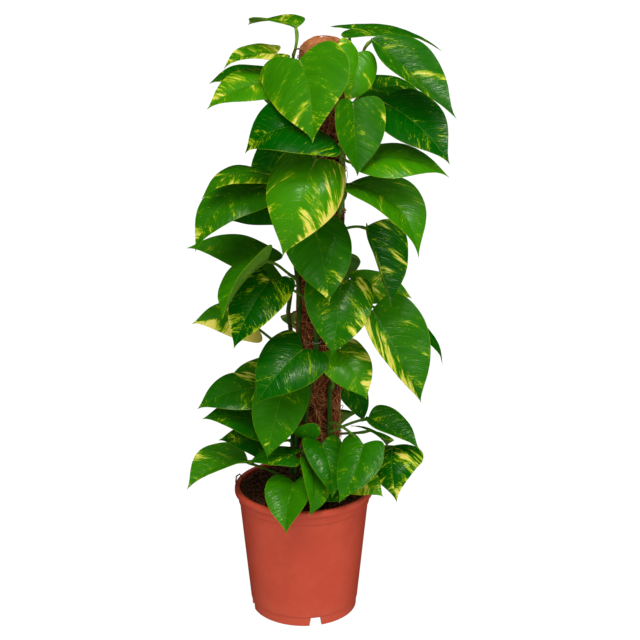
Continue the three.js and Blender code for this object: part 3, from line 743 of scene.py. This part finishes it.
class Leaf(NamedTuple):
    """Where a blade lies and what carries it, then how it bends and how its upper face is toned."""
    base: tuple  # in mm from the pot's axis, as the tip
    tip: tuple
    width: float
    faces: tuple  # where the upper face looks, in degrees round from the front and up
    vine: str
    at: float  # the height of its node on that vine
    fold: float = 12  # degrees up from the midrib
    curl: float = 35  # degrees down again by the margin
    arch: float = 0.1  # share of the length, as hook and bend
    hook: float = 0.03
    bend: float = 0
    lobes: float = 1
    pale: float = 0.15  # share all over, with more on a side, at the end or along the edge
    left: float = 0
    right: float = 0
    end: float = 0
    edge: float = 0
    # light is partly each leaf's own green and partly painted light and shade, set by how brightly the
    # leaf is lit
    light: float = 0.2  # from deep to light green


# Leaves that show
LEAVES = {
    "leaf_01": Leaf((-6, -2, 711), (-64, 57, 709), 64, (42, 92), LEFT, 636,
        fold=13, curl=11, arch=0.11, hook=-0.03, lobes=0.15, pale=0.45, light=0.6),
    "leaf_02": Leaf((-3, -38, 679), (12, -108, 599), 102, (-42, 56), FRONT, 640,
        arch=0.06, bend=-0.08, pale=0.1, end=0.38, edge=0.3, light=0.68),
    "leaf_03": Leaf((62, -25, 686), (46, -55, 633), 56, (45, 30), RIGHT, 650,
        fold=15, pale=0.2, edge=0.3, light=0.95),
    "leaf_04": Leaf((-29, 9, 681), (-88, -12, 666), 46, (0, 72), LEFT, 630,
        fold=22, arch=0.05, hook=0.1, pale=0.45, edge=0.2, light=0.6),
    "leaf_05": Leaf((-32, 25, 651), (-107, 17, 646), 64, (-20, 66), LEFT, 622,
        fold=10, pale=0.25, edge=0.2, light=0.15),
    "leaf_06": Leaf((-30, -16, 651), (-105, -45, 626), 66, (-10, 58), LEFT, 604,
        fold=18, pale=0.3, left=0.35, light=0.9),
    "leaf_07": Leaf((18, -70, 608), (-62, -78, 583), 98, (-8, 55), FRONT, 590,
        fold=20, arch=0.2, pale=0.2, light=0),
    "leaf_08": Leaf((55, -63, 637), (61, -71, 556), 75, (36, 38), RIGHT, 600,
        fold=30, curl=19, arch=0, hook=0, lobes=0.7, pale=0.08, edge=0.22, light=0.42),
    "leaf_09": Leaf((56, 64, 703), (165, 102, 674), 63, (-56, 63), RIGHT, 660,
        fold=17, curl=45, arch=0.09, hook=0, pale=0.2, light=0.25),
    "leaf_10": Leaf((77, 14, 697), (172, -35, 614), 77, (26, 58), RIGHT, 641,
        fold=35, curl=28, arch=0, hook=-0.02, bend=-0.05, lobes=0.15, pale=0.14, left=0.12, light=0.25),
    "leaf_11": Leaf((67, 33, 633), (138, 66, 630), 60, (0, 60), RIGHT, 625, pale=0.3, light=0.15),
    "leaf_12": Leaf((89, -3, 629), (165, -41, 564), 92, (6, 65), RIGHT, 612,
        fold=14, curl=18, hook=0, lobes=0.35, pale=0.14, end=0.2, light=0),
    "leaf_13": Leaf((54, -37, 566), (166, -31, 547), 74, (1, 68), RIGHT, 565,
        fold=13, curl=41, arch=0.17, hook=0, bend=0.04, lobes=0.28, pale=0.2, light=0.88),
    "leaf_14": Leaf((-28, 40, 567), (-50, 36, 508), 60, (-30, 30), LEFT, 560, light=0.05),
    "leaf_15": Leaf((14, -70, 574), (-21, -113, 476), 104, (16, 50), RIGHT, 586,
        fold=3, curl=70, arch=0.22, right=0.45, edge=0.35, light=0.9),
    "leaf_16": Leaf((-39, -20, 548), (-113, -50, 526), 50, (-10, 72), LEFT, 548,
        fold=10, arch=0.18, pale=0.22, edge=0.3, light=0.5),
    "leaf_17": Leaf((-46, -25, 536), (-120, -65, 469), 68, (-35, 25), LEFT, 530,
        bend=0.1, pale=0.14, end=0.4, light=0.42),
    "leaf_18": Leaf((-23, -5, 516), (-89, 0, 489), 60, (-20, 40), LEFT, 500, pale=0.05),
    "leaf_19": Leaf((54, -18, 538), (130, -71, 464), 105, (49, 85), RIGHT, 530,
        fold=16, curl=18, arch=0.17, bend=-0.02, lobes=0.28, pale=0.2, light=0.7),
    "leaf_20": Leaf((-38, 4, 439), (-136, -6, 459), 58, (-10, 55), OUTER, 412, pale=0.1, light=0.58),
    "leaf_21": Leaf((-40, -48, 456), (-89, -103, 402), 82, (-103, 55), LEFT, 425,
        fold=29, curl=16, hook=-0.03, bend=0.02, lobes=0.59, pale=0.08, light=0.6),
    "leaf_22": Leaf((-38, -41, 430), (-78, -81, 360), 66, (-15, 30), FRONT, 404,
        fold=15, pale=0.16, end=0.3, edge=0.4, light=0),
    "leaf_23": Leaf((14, -45, 490), (30, -75, 413), 78, (10, 30), FRONT, 480,
        pale=0.08, end=0.42, light=0.32),
    "leaf_24": Leaf((73, -15, 487), (102, -41, 398), 100, (62, 23), RIGHT, 483,
        fold=39, curl=25, arch=0, hook=0, lobes=0.57, pale=0.3, right=0.12, light=0.12),
    "leaf_25": Leaf((65, 30, 404), (131, 40, 385), 60, (10, 60), RIGHT, 405, pale=0.5, light=0.7),
    "leaf_26": Leaf((43, -35, 424), (33, -75, 349), 82, (10, 30), RIGHT, 420,
        pale=0.2, right=0.3, light=0.3),
    "leaf_27": Leaf((81, -14, 386), (139, -40, 280), 98, (40, 35), RIGHT, 385,
        fold=34, curl=13, hook=0, bend=0.07, lobes=0.54, pale=0.16, left=0.6, end=0.2, light=0.42),
    "leaf_28": Leaf((122, 20, 367), (168, 20, 308), 50, (80, 30), RIGHT, 395, light=0.1),
    "leaf_29": Leaf((-61, -5, 368), (-130, -25, 373), 62, (-15, 55), OUTER, 330,
        pale=0.32, right=0.75, light=0.5),
    "leaf_30": Leaf((0, -50, 350), (-53, -85, 296), 76, (-10, 35), RIGHT, 295, pale=0.08, light=0.08),
    "leaf_31": Leaf((42, -45, 345), (74, -70, 295), 60, (15, 35), RIGHT, 330,
        pale=0.12, right=0.7, light=0.7),
    "leaf_32": Leaf((-23, -35, 297), (-42, -70, 222), 66, (-5, 25), FRONT, 285, pale=0.06, light=0.46),
    "leaf_33": Leaf((-56, -14, 290), (-125, -39, 272), 62, (-20, 50), OUTER, 270, pale=0.28),
    "leaf_34": Leaf((-50, -15, 243), (-120, -40, 260), 58, (-15, 60), OUTER, 240, pale=0.2),
    "leaf_35": Leaf((-43, -5, 213), (-103, -15, 223), 50, (-20, 60), OUTER, 216, pale=0.25, light=0.1),
    "leaf_36": Leaf((-68, -9, 193), (-138, -62, 179), 78, (-76, 91), OUTER, 165,
        fold=28, curl=14, arch=0.08, bend=0.03, lobes=0.64, left=0.25, light=0.6),
    "leaf_37": Leaf((-12, -56, 220), (-66, -50, 206), 40, (-10, 75), FRONT, 200, pale=0.18),
    "leaf_38": Leaf((-11, -57, 186), (-19, -106, 143), 63, (-22, 48), FRONT, 165,
        fold=35, arch=0.11, hook=0, lobes=0.77, pale=0.05, light=0.6),
    "leaf_39": Leaf((10, -63, 207), (7, -99, 162), 50, (60, 30), FRONT, 188, fold=25, light=0.45),
    "leaf_40": Leaf((22, -50, 232), (34, -85, 178), 56, (34, 38), RIGHT, 210,
        fold=20, pale=0.1, light=0.25),
    "leaf_41": Leaf((78, -11, 251), (139, -31, 218), 67, (66, 58), RIGHT, 238,
        fold=33, arch=0.03, hook=0, lobes=0.51, pale=0.16, end=0.3, light=0.22),
    "leaf_42": Leaf((109, -3, 211), (111, -63, 163), 79, (-27, 61), RIGHT, 222,
        fold=2, curl=44, arch=0.27, hook=0.05, lobes=0.72, pale=0.36, right=0.2, light=0.1),
    "leaf_43": Leaf((58, -55, 191), (94, -85, 180), 45, (10, 50), RIGHT, 180, pale=0.5, light=0.9),
    "leaf_44": Leaf((8, -44, 234), (-23, -52, 251), 54, (-13, -50), FRONT, 212,
        fold=2, curl=60, arch=0, hook=-0.03, bend=0.07, lobes=0.74, light=0.3),
    "leaf_45": Leaf((56, 30, 278), (72, 25, 231), 45, (45, 25), BACK, 258, light=0.1),
    "leaf_46": Leaf((40, -46, 173), (8, -62, 165), 36, (0, 60), RIGHT, 166, pale=0.05, light=0.1),
    "leaf_47": Leaf((-48, 18, 301), (-98, 3, 261), 50, (-30, 40), OUTER, 285, pale=0.35, light=0.35),
    "leaf_48": Leaf((70, -63, 237), (41, -111, 184), 56, (10, 80), RIGHT, 250,
        fold=16, curl=47, arch=0.07, hook=0, bend=-0.08, pale=0.12, light=0.32),
}

# Leaves that grow from the back vine
BACK_LEAVES = [
    Leaf((30, 45, 668), (55, 110, 620), 80, (160, 45), BACK, 650, pale=0.3, light=0.5),
    Leaf((-5, 50, 640), (-30, 115, 590), 78, (200, 45), BACK, 620, pale=0.2, light=0.3),
    Leaf((5, 50, 590), (-10, 115, 530), 74, (190, 40), BACK, 570, pale=0.35),
    Leaf((22, 40, 520), (22, 100, 455), 62, (180, 40), BACK, 505, end=0.3),
    Leaf((35, 42, 440), (50, 100, 380), 62, (170, 40), BACK, 425, right=0.4, light=0.1),
    Leaf((10, 45, 365), (0, 105, 310), 75, (185, 40), BACK, 350, pale=0.3),
    Leaf((5, 42, 300), (-15, 100, 245), 72, (190, 40), BACK, 285, left=0.4, light=0.1),
    Leaf((30, 42, 240), (45, 95, 195), 62, (170, 40), BACK, 225, pale=0.25, light=0.4),
    Leaf((82, 82, 642), (108, 118, 586), 70, (140, 45), BACK, 630, pale=0.2),
    Leaf((-44, 60, 655), (-82, 96, 622), 66, (225, 45), BACK, 645, pale=0.4, light=0.5),
    Leaf((-54, 60, 518), (-92, 94, 478), 66, (230, 40), BACK, 508, end=0.4, light=0.1),
    Leaf((-40, 42, 405), (-70, 85, 360), 66, (230, 40), BACK, 390, pale=0.25),
    Leaf((74, 50, 360), (98, 92, 305), 70, (130, 40), BACK, 345, pale=0.3, light=0.3),
    Leaf((80, 38, 215), (105, 70, 180), 56, (135, 45), BACK, 200, edge=0.4),
]

# Old roots at the foot of a vine: heading about the pot in degrees, and reach in mm
BASAL_ROOTS = {
    OUTER: [(-100, 34), (-70, 26), (-38, 30), (-130, 24)],
    LEFT: [(-62, 36), (-25, 26), (-84, 30)],
}

# Brown roots that loop out in the air from the soil, a vine or the coir, in mm from the pot's axis
LOOSE_ROOTS = {
    OUTER: [[(-72, 4, 152), (-75, 4, 165), (-79, 4, 171), (-83, 4, 168), (-84, 4, 160)]],
    LEFT: [
        [(-4, -22, 388), (-11, -23, 387), (-16, -23, 381), (-15, -22, 374), (-8, -21, 371)],
        [(1, -10, 684), (-4, -12, 689), (-9, -12, 687), (-11, -12, 682), (-8, -12, 676)],
    ],
}


def leaf_nodes(name):
    """The heights of the vine's nodes."""
    return [row.at for row in [*LEAVES.values(), *BACK_LEAVES] if row.vine == name]


def stem(name):
    """The vine's run: round, swollen for a few millimetres at each node, tapered at its tip."""
    nodes = leaf_nodes(name)
    top = VINES[name][-1][1]
    run = []
    z = VINE_ROOT
    while z < top + 0.5:
        swell = sum(math.exp(-(((z - at) / NODE_SWELL) ** 2)) for at in nodes)
        radius = VINE_RADIUS * (0.92 + 0.2 * min(swell, 1))
        if top - z < TIP_TAPER:
            radius *= 0.55 + 0.45 * (top - z) / TIP_TAPER
        run.append((vine_place(name, min(z, top)), radius * MM))
        z += STEM_STEP
    return run


def aerial_root(draw, name, z, side, reach):
    """A brown root that bends from a node along the coir and down into it."""
    start = vine_place(name, z)
    out = vine_out(name, z)
    along = Vector((-out.y, out.x, 0)) * side
    run = []
    for i in range(6):
        share = i / 5
        spot = start + along * reach * share * MM + out * (1.2 - 3.4 * share * share) * MM
        spot += Vector((0, 0, -0.4 * reach * share * share + draw.uniform(-0.3, 0.3))) * MM
        run.append((spot, (1.0 - 0.55 * share) * MM))
    return run


def stem_skin(name, green, young, old):
    """Satin green skin, paler high up where it is young, with darker streaks and corky patches."""
    material, tree, shader = new_material(name, specular_ior_level=0.3)
    spot = object_spot(tree)
    streaks = noise_at(tree, drawn_out(tree, spot, (700, 700, 35)), 1.0, 3.0)
    low, high = (height * MM for height in YOUNG)
    green = colour_mix(tree, smooth_step(tree, height_of(tree, spot), low, high), green, young)
    darker = colour_mix(tree, 0.45, green, (0, 0, 0, 1))
    skin = colour_mix(tree, smooth_step(tree, streaks, 0.35, 0.7), green, darker)
    cork = smooth_step(tree, mottled(tree, 70.0), 0.72, 1.0)
    set_colour(tree, shader, colour_mix(tree, cork, skin, old))
    set_roughness(tree, shader, cork, 0.36, 0.7)
    set_relief(tree, shader, streaks, 0.4, 0.0005)
    return material


def basal_root(draw, name, turn, reach):
    """An old root that arches from the foot of a vine over the soil and down into it."""
    start = vine_place(name, OLD_ROOTS + draw.uniform(-8, 8))
    heading = math.radians(turn)
    run = []
    for i in range(9):
        share = i / 8
        spot = start + Vector((math.sin(heading), -math.cos(heading), 0)) * reach * share * MM
        spot += Vector((0, 0, 7 * math.sin(math.pi * share) - 26 * share * share)) * MM
        run.append((spot, (1.7 - 0.5 * share) * MM))
        heading += draw.uniform(-0.16, 0.16)
    return run


stem_material = stem_skin("stem_skin", srgb(40, 92, 12), srgb(112, 156, 48), srgb(86, 74, 26))
root_material = stem_skin("aerial_root", srgb(96, 66, 36), srgb(110, 76, 42), srgb(62, 38, 20))
draw = random.Random(5)
for name in VINES:
    vine = tube(name + "_stem", [stem(name)], 3)
    vine.data.materials.append(stem_material)
    runs = []
    for z in leaf_nodes(name):
        runs.append(aerial_root(draw, name, z - 2, draw.choice((-1, 1)), draw.uniform(5, 10)))
    runs += [basal_root(draw, name, turn, reach) for turn, reach in BASAL_ROOTS.get(name, [])]
    runs += [[(place(*spot), 1.0 * MM) for spot in spots] for spots in LOOSE_ROOTS.get(name, [])]
    roots = tube(name + "_roots", runs, 1)
    roots.data.materials.append(root_material)
    make_active(vine)
    roots.select_set(True)
    bpy.ops.object.join()
    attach(vine, "root")
    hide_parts(name)

# The staples: three bits of dull galvanised wire, each bent over a vine. Their legs are pushed
# into the coir, which holds them by its springy grip.


def galvanised_wire():
    """Dull zinc on steel wire, greyer where it has weathered."""
    material, tree, shader = new_material("galvanised_wire", metallic=0.35)
    grey = colour_mix(tree, mottled(tree, 300.0), srgb(206, 204, 198), srgb(140, 136, 128))
    set_colour(tree, shader, grey)
    set_roughness(tree, shader, mottled(tree, 150.0), 0.3, 0.55)
    return material


wire_material = galvanised_wire()
for name in ("staple_low", "staple_middle", "staple_right"):
    dress(name, wire_material)

# The leaves: leathery heart-shaped blades about half a millimetre thick, folded a little at the
# midrib and rolled down at their margins, each grown in one piece with its fleshy petiole.
BLADE_THICKNESS = 0.5
BLADE_ROWS = 40
BLADE_COLUMNS = 24
BLADE_RELIEF = 0.7
VEIN_SPACING = 1.25
PETIOLE_RADIUS = 1.9
PETIOLE_SUNK = 2.5
PETIOLE_UNDER = 1.5
PETIOLE_POINTS = 22
MIDRIB_POINTS = 14
OUTLINE_TURN = 89.2
SEED_STEP = 0.618


def heart_edge(angle, lobes):
    """The right half of the outline: shares of the half width and of the length, by angle."""
    turn = math.radians(angle)
    swell = math.sin(turn)
    lobe = 0.44 * swell * math.cos(turn / 2) ** 2 + 0.07 * max(math.sin(2 * turn), 0)
    taper = 1 + 0.5 * max(-math.cos(turn), 0) ** 3
    out = swell ** taper * (1 + 0.15 * math.cos(turn)) / 1.01
    return out, (angle / 180) ** 1.15 - lobes * lobe


class Blade:
    """The blade's own axes, and the place of a point on it by shares of its width and length."""

    def __init__(self, row, seed):
        self.row = row
        self.seed = seed
        self.base = place(*row.base)
        along = place(*row.tip) - self.base
        self.length = along.length
        self.along = along.normalized()
        up = facing(*row.faces)
        self.up = (up - self.along * up.dot(self.along)).normalized()
        self.across = self.along.cross(self.up)

    def point(self, side, out, along):
        row = self.row
        fold, curl = math.radians(row.fold), math.radians(row.curl)
        rolled = fold - curl * out
        reach = row.width * MM / 2 / curl
        across = side * reach * (math.sin(fold) - math.sin(rolled))
        lift = reach * (math.cos(rolled) - math.cos(fold))
        lift += self.ripple(side, out, along)
        ahead = max(along, 0)
        rise = row.arch * 4 * along * (1 - along) + row.hook * 2 * (ahead - ahead ** 4)
        lean = math.atan(row.arch * 4 * (1 - 2 * ahead) + row.hook * 2 * (1 - 4 * ahead ** 3))
        return (
            self.base
            + self.across * (across + row.bend * self.length * 4 * ahead * (1 - ahead))
            + self.along * (along * self.length - math.sin(lean) * lift)
            + self.up * (rise * self.length + math.cos(lean) * lift)
        )

    def ripple(self, side, out, along):
        """Slow waves along the margin and a soft swelling between the side veins."""
        wave = math.sin(2 * math.pi * (1.6 * along + 0.31 * side + 0.37 * self.seed))
        rib = math.cos(2 * math.pi * 5 * (along - 0.5 * out) + 4 * self.seed)
        return (0.011 * wave * out * out + 0.0012 * rib * math.sin(math.pi * min(out, 1))) * self.length


def pale_share(row, side, share, along):
    """How pale the upper face is at a point, before the pattern breaks it up."""
    flank = row.left if side > 0 else row.right
    towards_tip = max(0, (along - 0.45) / 0.55)
    edge = share ** 6 if share > 0 else 0
    return row.pale + flank * share ** 0.5 + row.end * towards_tip + row.edge * edge


def blade_mesh(name, blade):
    """A grid laid out inside the outline, with its veins' coordinates and its tones."""
    deselect()
    bpy.ops.mesh.primitive_grid_add(x_subdivisions=BLADE_COLUMNS, y_subdivisions=BLADE_ROWS, size=2)
    sheet = bpy.context.object
    sheet.name = name
    mesh = sheet.data
    row = blade.row
    spread, tones = [], []  # spread in cm from the midrib and the base, less the veins' sweep
    for corner in mesh.vertices:
        share, angle = abs(corner.co.x), 90 + OUTLINE_TURN * corner.co.y
        side = math.copysign(1, corner.co.x)
        edge_out, edge_along = heart_edge(angle, row.lobes)
        midrib = (angle / 180) ** 2
        out = share * edge_out
        along = midrib + (edge_along - midrib) * share
        corner.co = blade.point(side, out, along)
        x = side * out * row.width / 20
        y = along * blade.length * 100
        spread.append((x, y - 0.4 * abs(x) - 0.1 * x * x, share * side))
        pale = pale_share(row, side, share, along)
        # The light tone is partly the leaf's own green and partly painted light and shade.
        tones.append((min(pale, 1), row.light, blade.seed % 1, 1))
    veins = mesh.attributes.new("spread", "FLOAT_VECTOR", "POINT")
    veins.data.foreach_set("vector", [value for entry in spread for value in entry])
    tone = mesh.attributes.new("tones", "FLOAT_COLOR", "POINT")
    tone.data.foreach_set("color", [value for entry in tones for value in entry])
    return sheet


def petiole_run(blade):
    """The stalk from the vine up and over to the blade, and on as the midrib under it."""
    row = blade.row
    out = vine_out(row.vine, row.at)
    start = vine_place(row.vine, row.at) + out * MM
    first = (blade.point(1, 0, 0.04) - blade.base).normalized()
    reach = (blade.base - start).length / 3
    straight = (blade.base - start).normalized()
    leave = start + (out * 0.9 + Vector((0, 0, 0.5))) * reach
    heading = (first * 0.8 + straight * 0.9 + Vector((0, 0, 0.3))).normalized()
    under = PETIOLE_UNDER * (1 - abs(heading.dot(blade.up)))
    arrive = blade.base - heading * reach
    end = blade.base + (first * PETIOLE_SUNK - blade.up * under) * MM
    run = []
    for i in range(PETIOLE_POINTS):
        t = i / (PETIOLE_POINTS - 1)
        spot = start * (1 - t) ** 3 + leave * 3 * t * (1 - t) ** 2
        spot += arrive * 3 * t * t * (1 - t) + end * t ** 3
        knee = math.exp(-(((t - 0.9) / 0.07) ** 2))
        sheath = math.exp(-((t / 0.12) ** 2))
        run.append((spot, PETIOLE_RADIUS * (0.88 + 0.3 * knee + 0.6 * sheath) * MM))
    for i in range(1, MIDRIB_POINTS + 1):
        along = 0.05 + 0.9 * i / MIDRIB_POINTS
        radius = PETIOLE_RADIUS * (0.62 * (1 - along) + 0.1)
        run.append((blade.point(1, 0, along) - blade.up * radius * 0.75 * MM, radius * MM))
    return run


def blade_pattern():
    """The blade's tones: side veins, midrib, fine flecks and splashes along the veins."""
    group = bpy.data.node_groups.new("blade_pattern", "ShaderNodeTree")
    spread = node(group, "ShaderNodeAttribute", attribute_name="spread").outputs["Vector"]
    tones = node(group, "ShaderNodeAttribute", attribute_name="tones").outputs["Color"]
    across, along, share = node(group, "ShaderNodeSeparateXYZ", {0: spread}).outputs
    pale, light, seed = node(group, "ShaderNodeSeparateColor", {0: tones}).outputs
    away = math_node(group, "ABSOLUTE", across)
    side = math_node(group, "SIGN", across)
    layer = math_node(group, "ADD", product(group, seed, 60.0), side)
    flat = node(group, "ShaderNodeCombineXYZ", {0: away, 1: along, 2: layer}).outputs[0]

    def grain(stretch, detail, rough=0.6):
        laid = node(group, "ShaderNodeMapping", {"Vector": flat, "Scale": (*stretch, 1)}).outputs[0]
        values = {"Vector": laid, "Scale": 1.0, "Detail": detail, "Roughness": rough, "Distortion": 0.5}
        return node(group, "ShaderNodeTexNoise", values).outputs[0]

    broad = grain((0.28, 0.5), 2.0)
    patchy = grain((0.45, 1.8), 6.0, 0.72)
    dots = grain((2.6, 7.0), 3.0)
    zone = product(group, math_node(group, "SUBTRACT", broad, 0.5), 1.2)

    def over(field, least_pale, most_pale):
        """How far a field stands over the level that the blade's paleness sets."""
        values = {"Value": pale, "To Min": least_pale, "To Max": most_pale}
        level = node(group, "ShaderNodeMapRange", values).outputs[0]
        return math_node(group, "SUBTRACT", field, level)

    patches = math_node(group, "MULTIPLY_ADD", patchy, 1.2, -0.1)
    splash = over(math_node(group, "ADD", patches, zone), 0.86, 0.3)
    fleck = over(math_node(group, "MULTIPLY_ADD", zone, 0.6, dots), 0.7, 0.46)
    wander = product(group, grain((0.7, 0.7), 1.0), 0.5)
    rhythm = math_node(group, "DIVIDE", math_node(group, "ADD", along, wander), VEIN_SPACING)
    line = math_node(group, "PINGPONG", rhythm, 0.5)
    outwards = math_node(group, "ABSOLUTE", share)
    inner = fade_out(group, outwards, 0.7, 1.0)
    results = {
        "Veins": product(group, fade_out(group, line, 0.0, 0.07), inner),
        "Pillow": product(group, smooth_step(group, line, 0.0, 0.5), inner),
        "Quilt": grain((0.6, 3.2), 3.0, 0.55),
        "Midrib": fade_out(group, away, 0.015, 0.07),
        # A painted highlight: a thin lime line along the very margin.
        "Margin_Highlight": smooth_step(group, outwards, 0.978, 0.998),
        "Flecks": smooth_step(group, fleck, 0.0, 0.05),
        "Lime": smooth_step(group, splash, -0.03, 0.04),
        "Cream": smooth_step(group, splash, 0.06, 0.14),
        "Light": light,
        "Cloud": broad,
    }
    for name in results:
        group.interface.new_socket(name, in_out="OUTPUT", socket_type="NodeSocketFloat")
    result = group.nodes.new("NodeGroupOutput")
    for name, socket in results.items():
        group.links.new(socket, result.inputs[name])
    return group


def blade_face(name, colours, roughness, vein_lift):
    """A face of the blade from the pattern: deep and light green, lime flecks, cream splashes, and a
    painted highlight along the margin.
    """
    material, tree, shader = new_material(name, specular_ior_level=0.5, specular_tint=(0.9, 1, 0.7, 1))
    drawn = node(tree, "ShaderNodeGroup", node_tree=pattern).outputs
    deep, bright, lime, cream, rib = colours
    cloud = product(tree, math_node(tree, "SUBTRACT", drawn["Cloud"], 0.5), 0.6)
    # Light: partly the leaf's own green, partly painted light and shade for how brightly the leaf is
    # lit.
    body = colour_mix(tree, math_node(tree, "ADD", drawn["Light"], cloud), deep, bright)
    layers = (
        ("Veins", 0.14, rib), ("Flecks", 0.75, lime), ("Lime", 1.0, lime),
        ("Cream", 1.0, cream), ("Midrib", 0.36, rib), ("Margin_Highlight", 0.4, lime),
    )
    for layer, strength, colour in layers:
        body = colour_mix(tree, product(tree, drawn[layer], strength), body, colour)
    set_colour(tree, shader, body)
    waxy = noise_at(tree, object_spot(tree), 130.0, 3.0)
    set_roughness(tree, shader, waxy, *roughness)
    groove = math_node(tree, "MAXIMUM", product(tree, drawn["Veins"], 0.55), drawn["Midrib"])
    height = product(tree, groove, vein_lift)
    for swelling, rise in ((drawn["Pillow"], -0.4 * vein_lift), (drawn["Quilt"], 2.2), (waxy, 0.5)):
        height = math_node(tree, "ADD", height, product(tree, swelling, rise))
    set_relief(tree, shader, height, 0.5, BLADE_RELIEF * MM)
    return material


pattern = blade_pattern()
upper_colours = (
    srgb(0, 80, 0), srgb(62, 138, 0), srgb(146, 176, 8), srgb(226, 212, 96), srgb(88, 150, 16),
)
under_colours = (
    srgb(52, 100, 26), srgb(92, 140, 30), srgb(150, 176, 62), srgb(218, 210, 128), srgb(112, 152, 44),
)
upper_face = blade_face("leaf_upper", upper_colours, (0.16, 0.28), -1.0)
under_face = blade_face("leaf_under", under_colours, (0.42, 0.56), 1.0)
petiole_skin = stem_skin("petiole_skin", srgb(84, 126, 26), srgb(120, 164, 44), srgb(80, 84, 28))


def grow_leaf(name, row, seed, node_name):
    """One leaf: its blade given two faces and a rim, joined to its petiole."""
    blade = Blade(row, seed)
    sheet = blade_mesh(name, blade)
    for face in (upper_face, under_face):
        sheet.data.materials.append(face)
    apply_modifier(sheet, "SOLIDIFY", thickness=BLADE_THICKNESS * MM, offset=0, material_offset=1)
    bpy.ops.object.shade_smooth_by_angle(angle=math.radians(70))
    stalk = tube(name + "_petiole", [petiole_run(blade)], 2)
    stalk.data.materials.append(petiole_skin)
    make_active(sheet)
    stalk.select_set(True)
    bpy.ops.object.join()
    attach(sheet, "root")
    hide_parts(node_name)


for number, (name, row) in enumerate(LEAVES.items()):
    grow_leaf(name + "_live", row, SEED_STEP * number, name)
for number, row in enumerate(BACK_LEAVES):
    grow_leaf(f"back_leaf_{number + 1:02d}", row, SEED_STEP * number + 0.3, BACK)
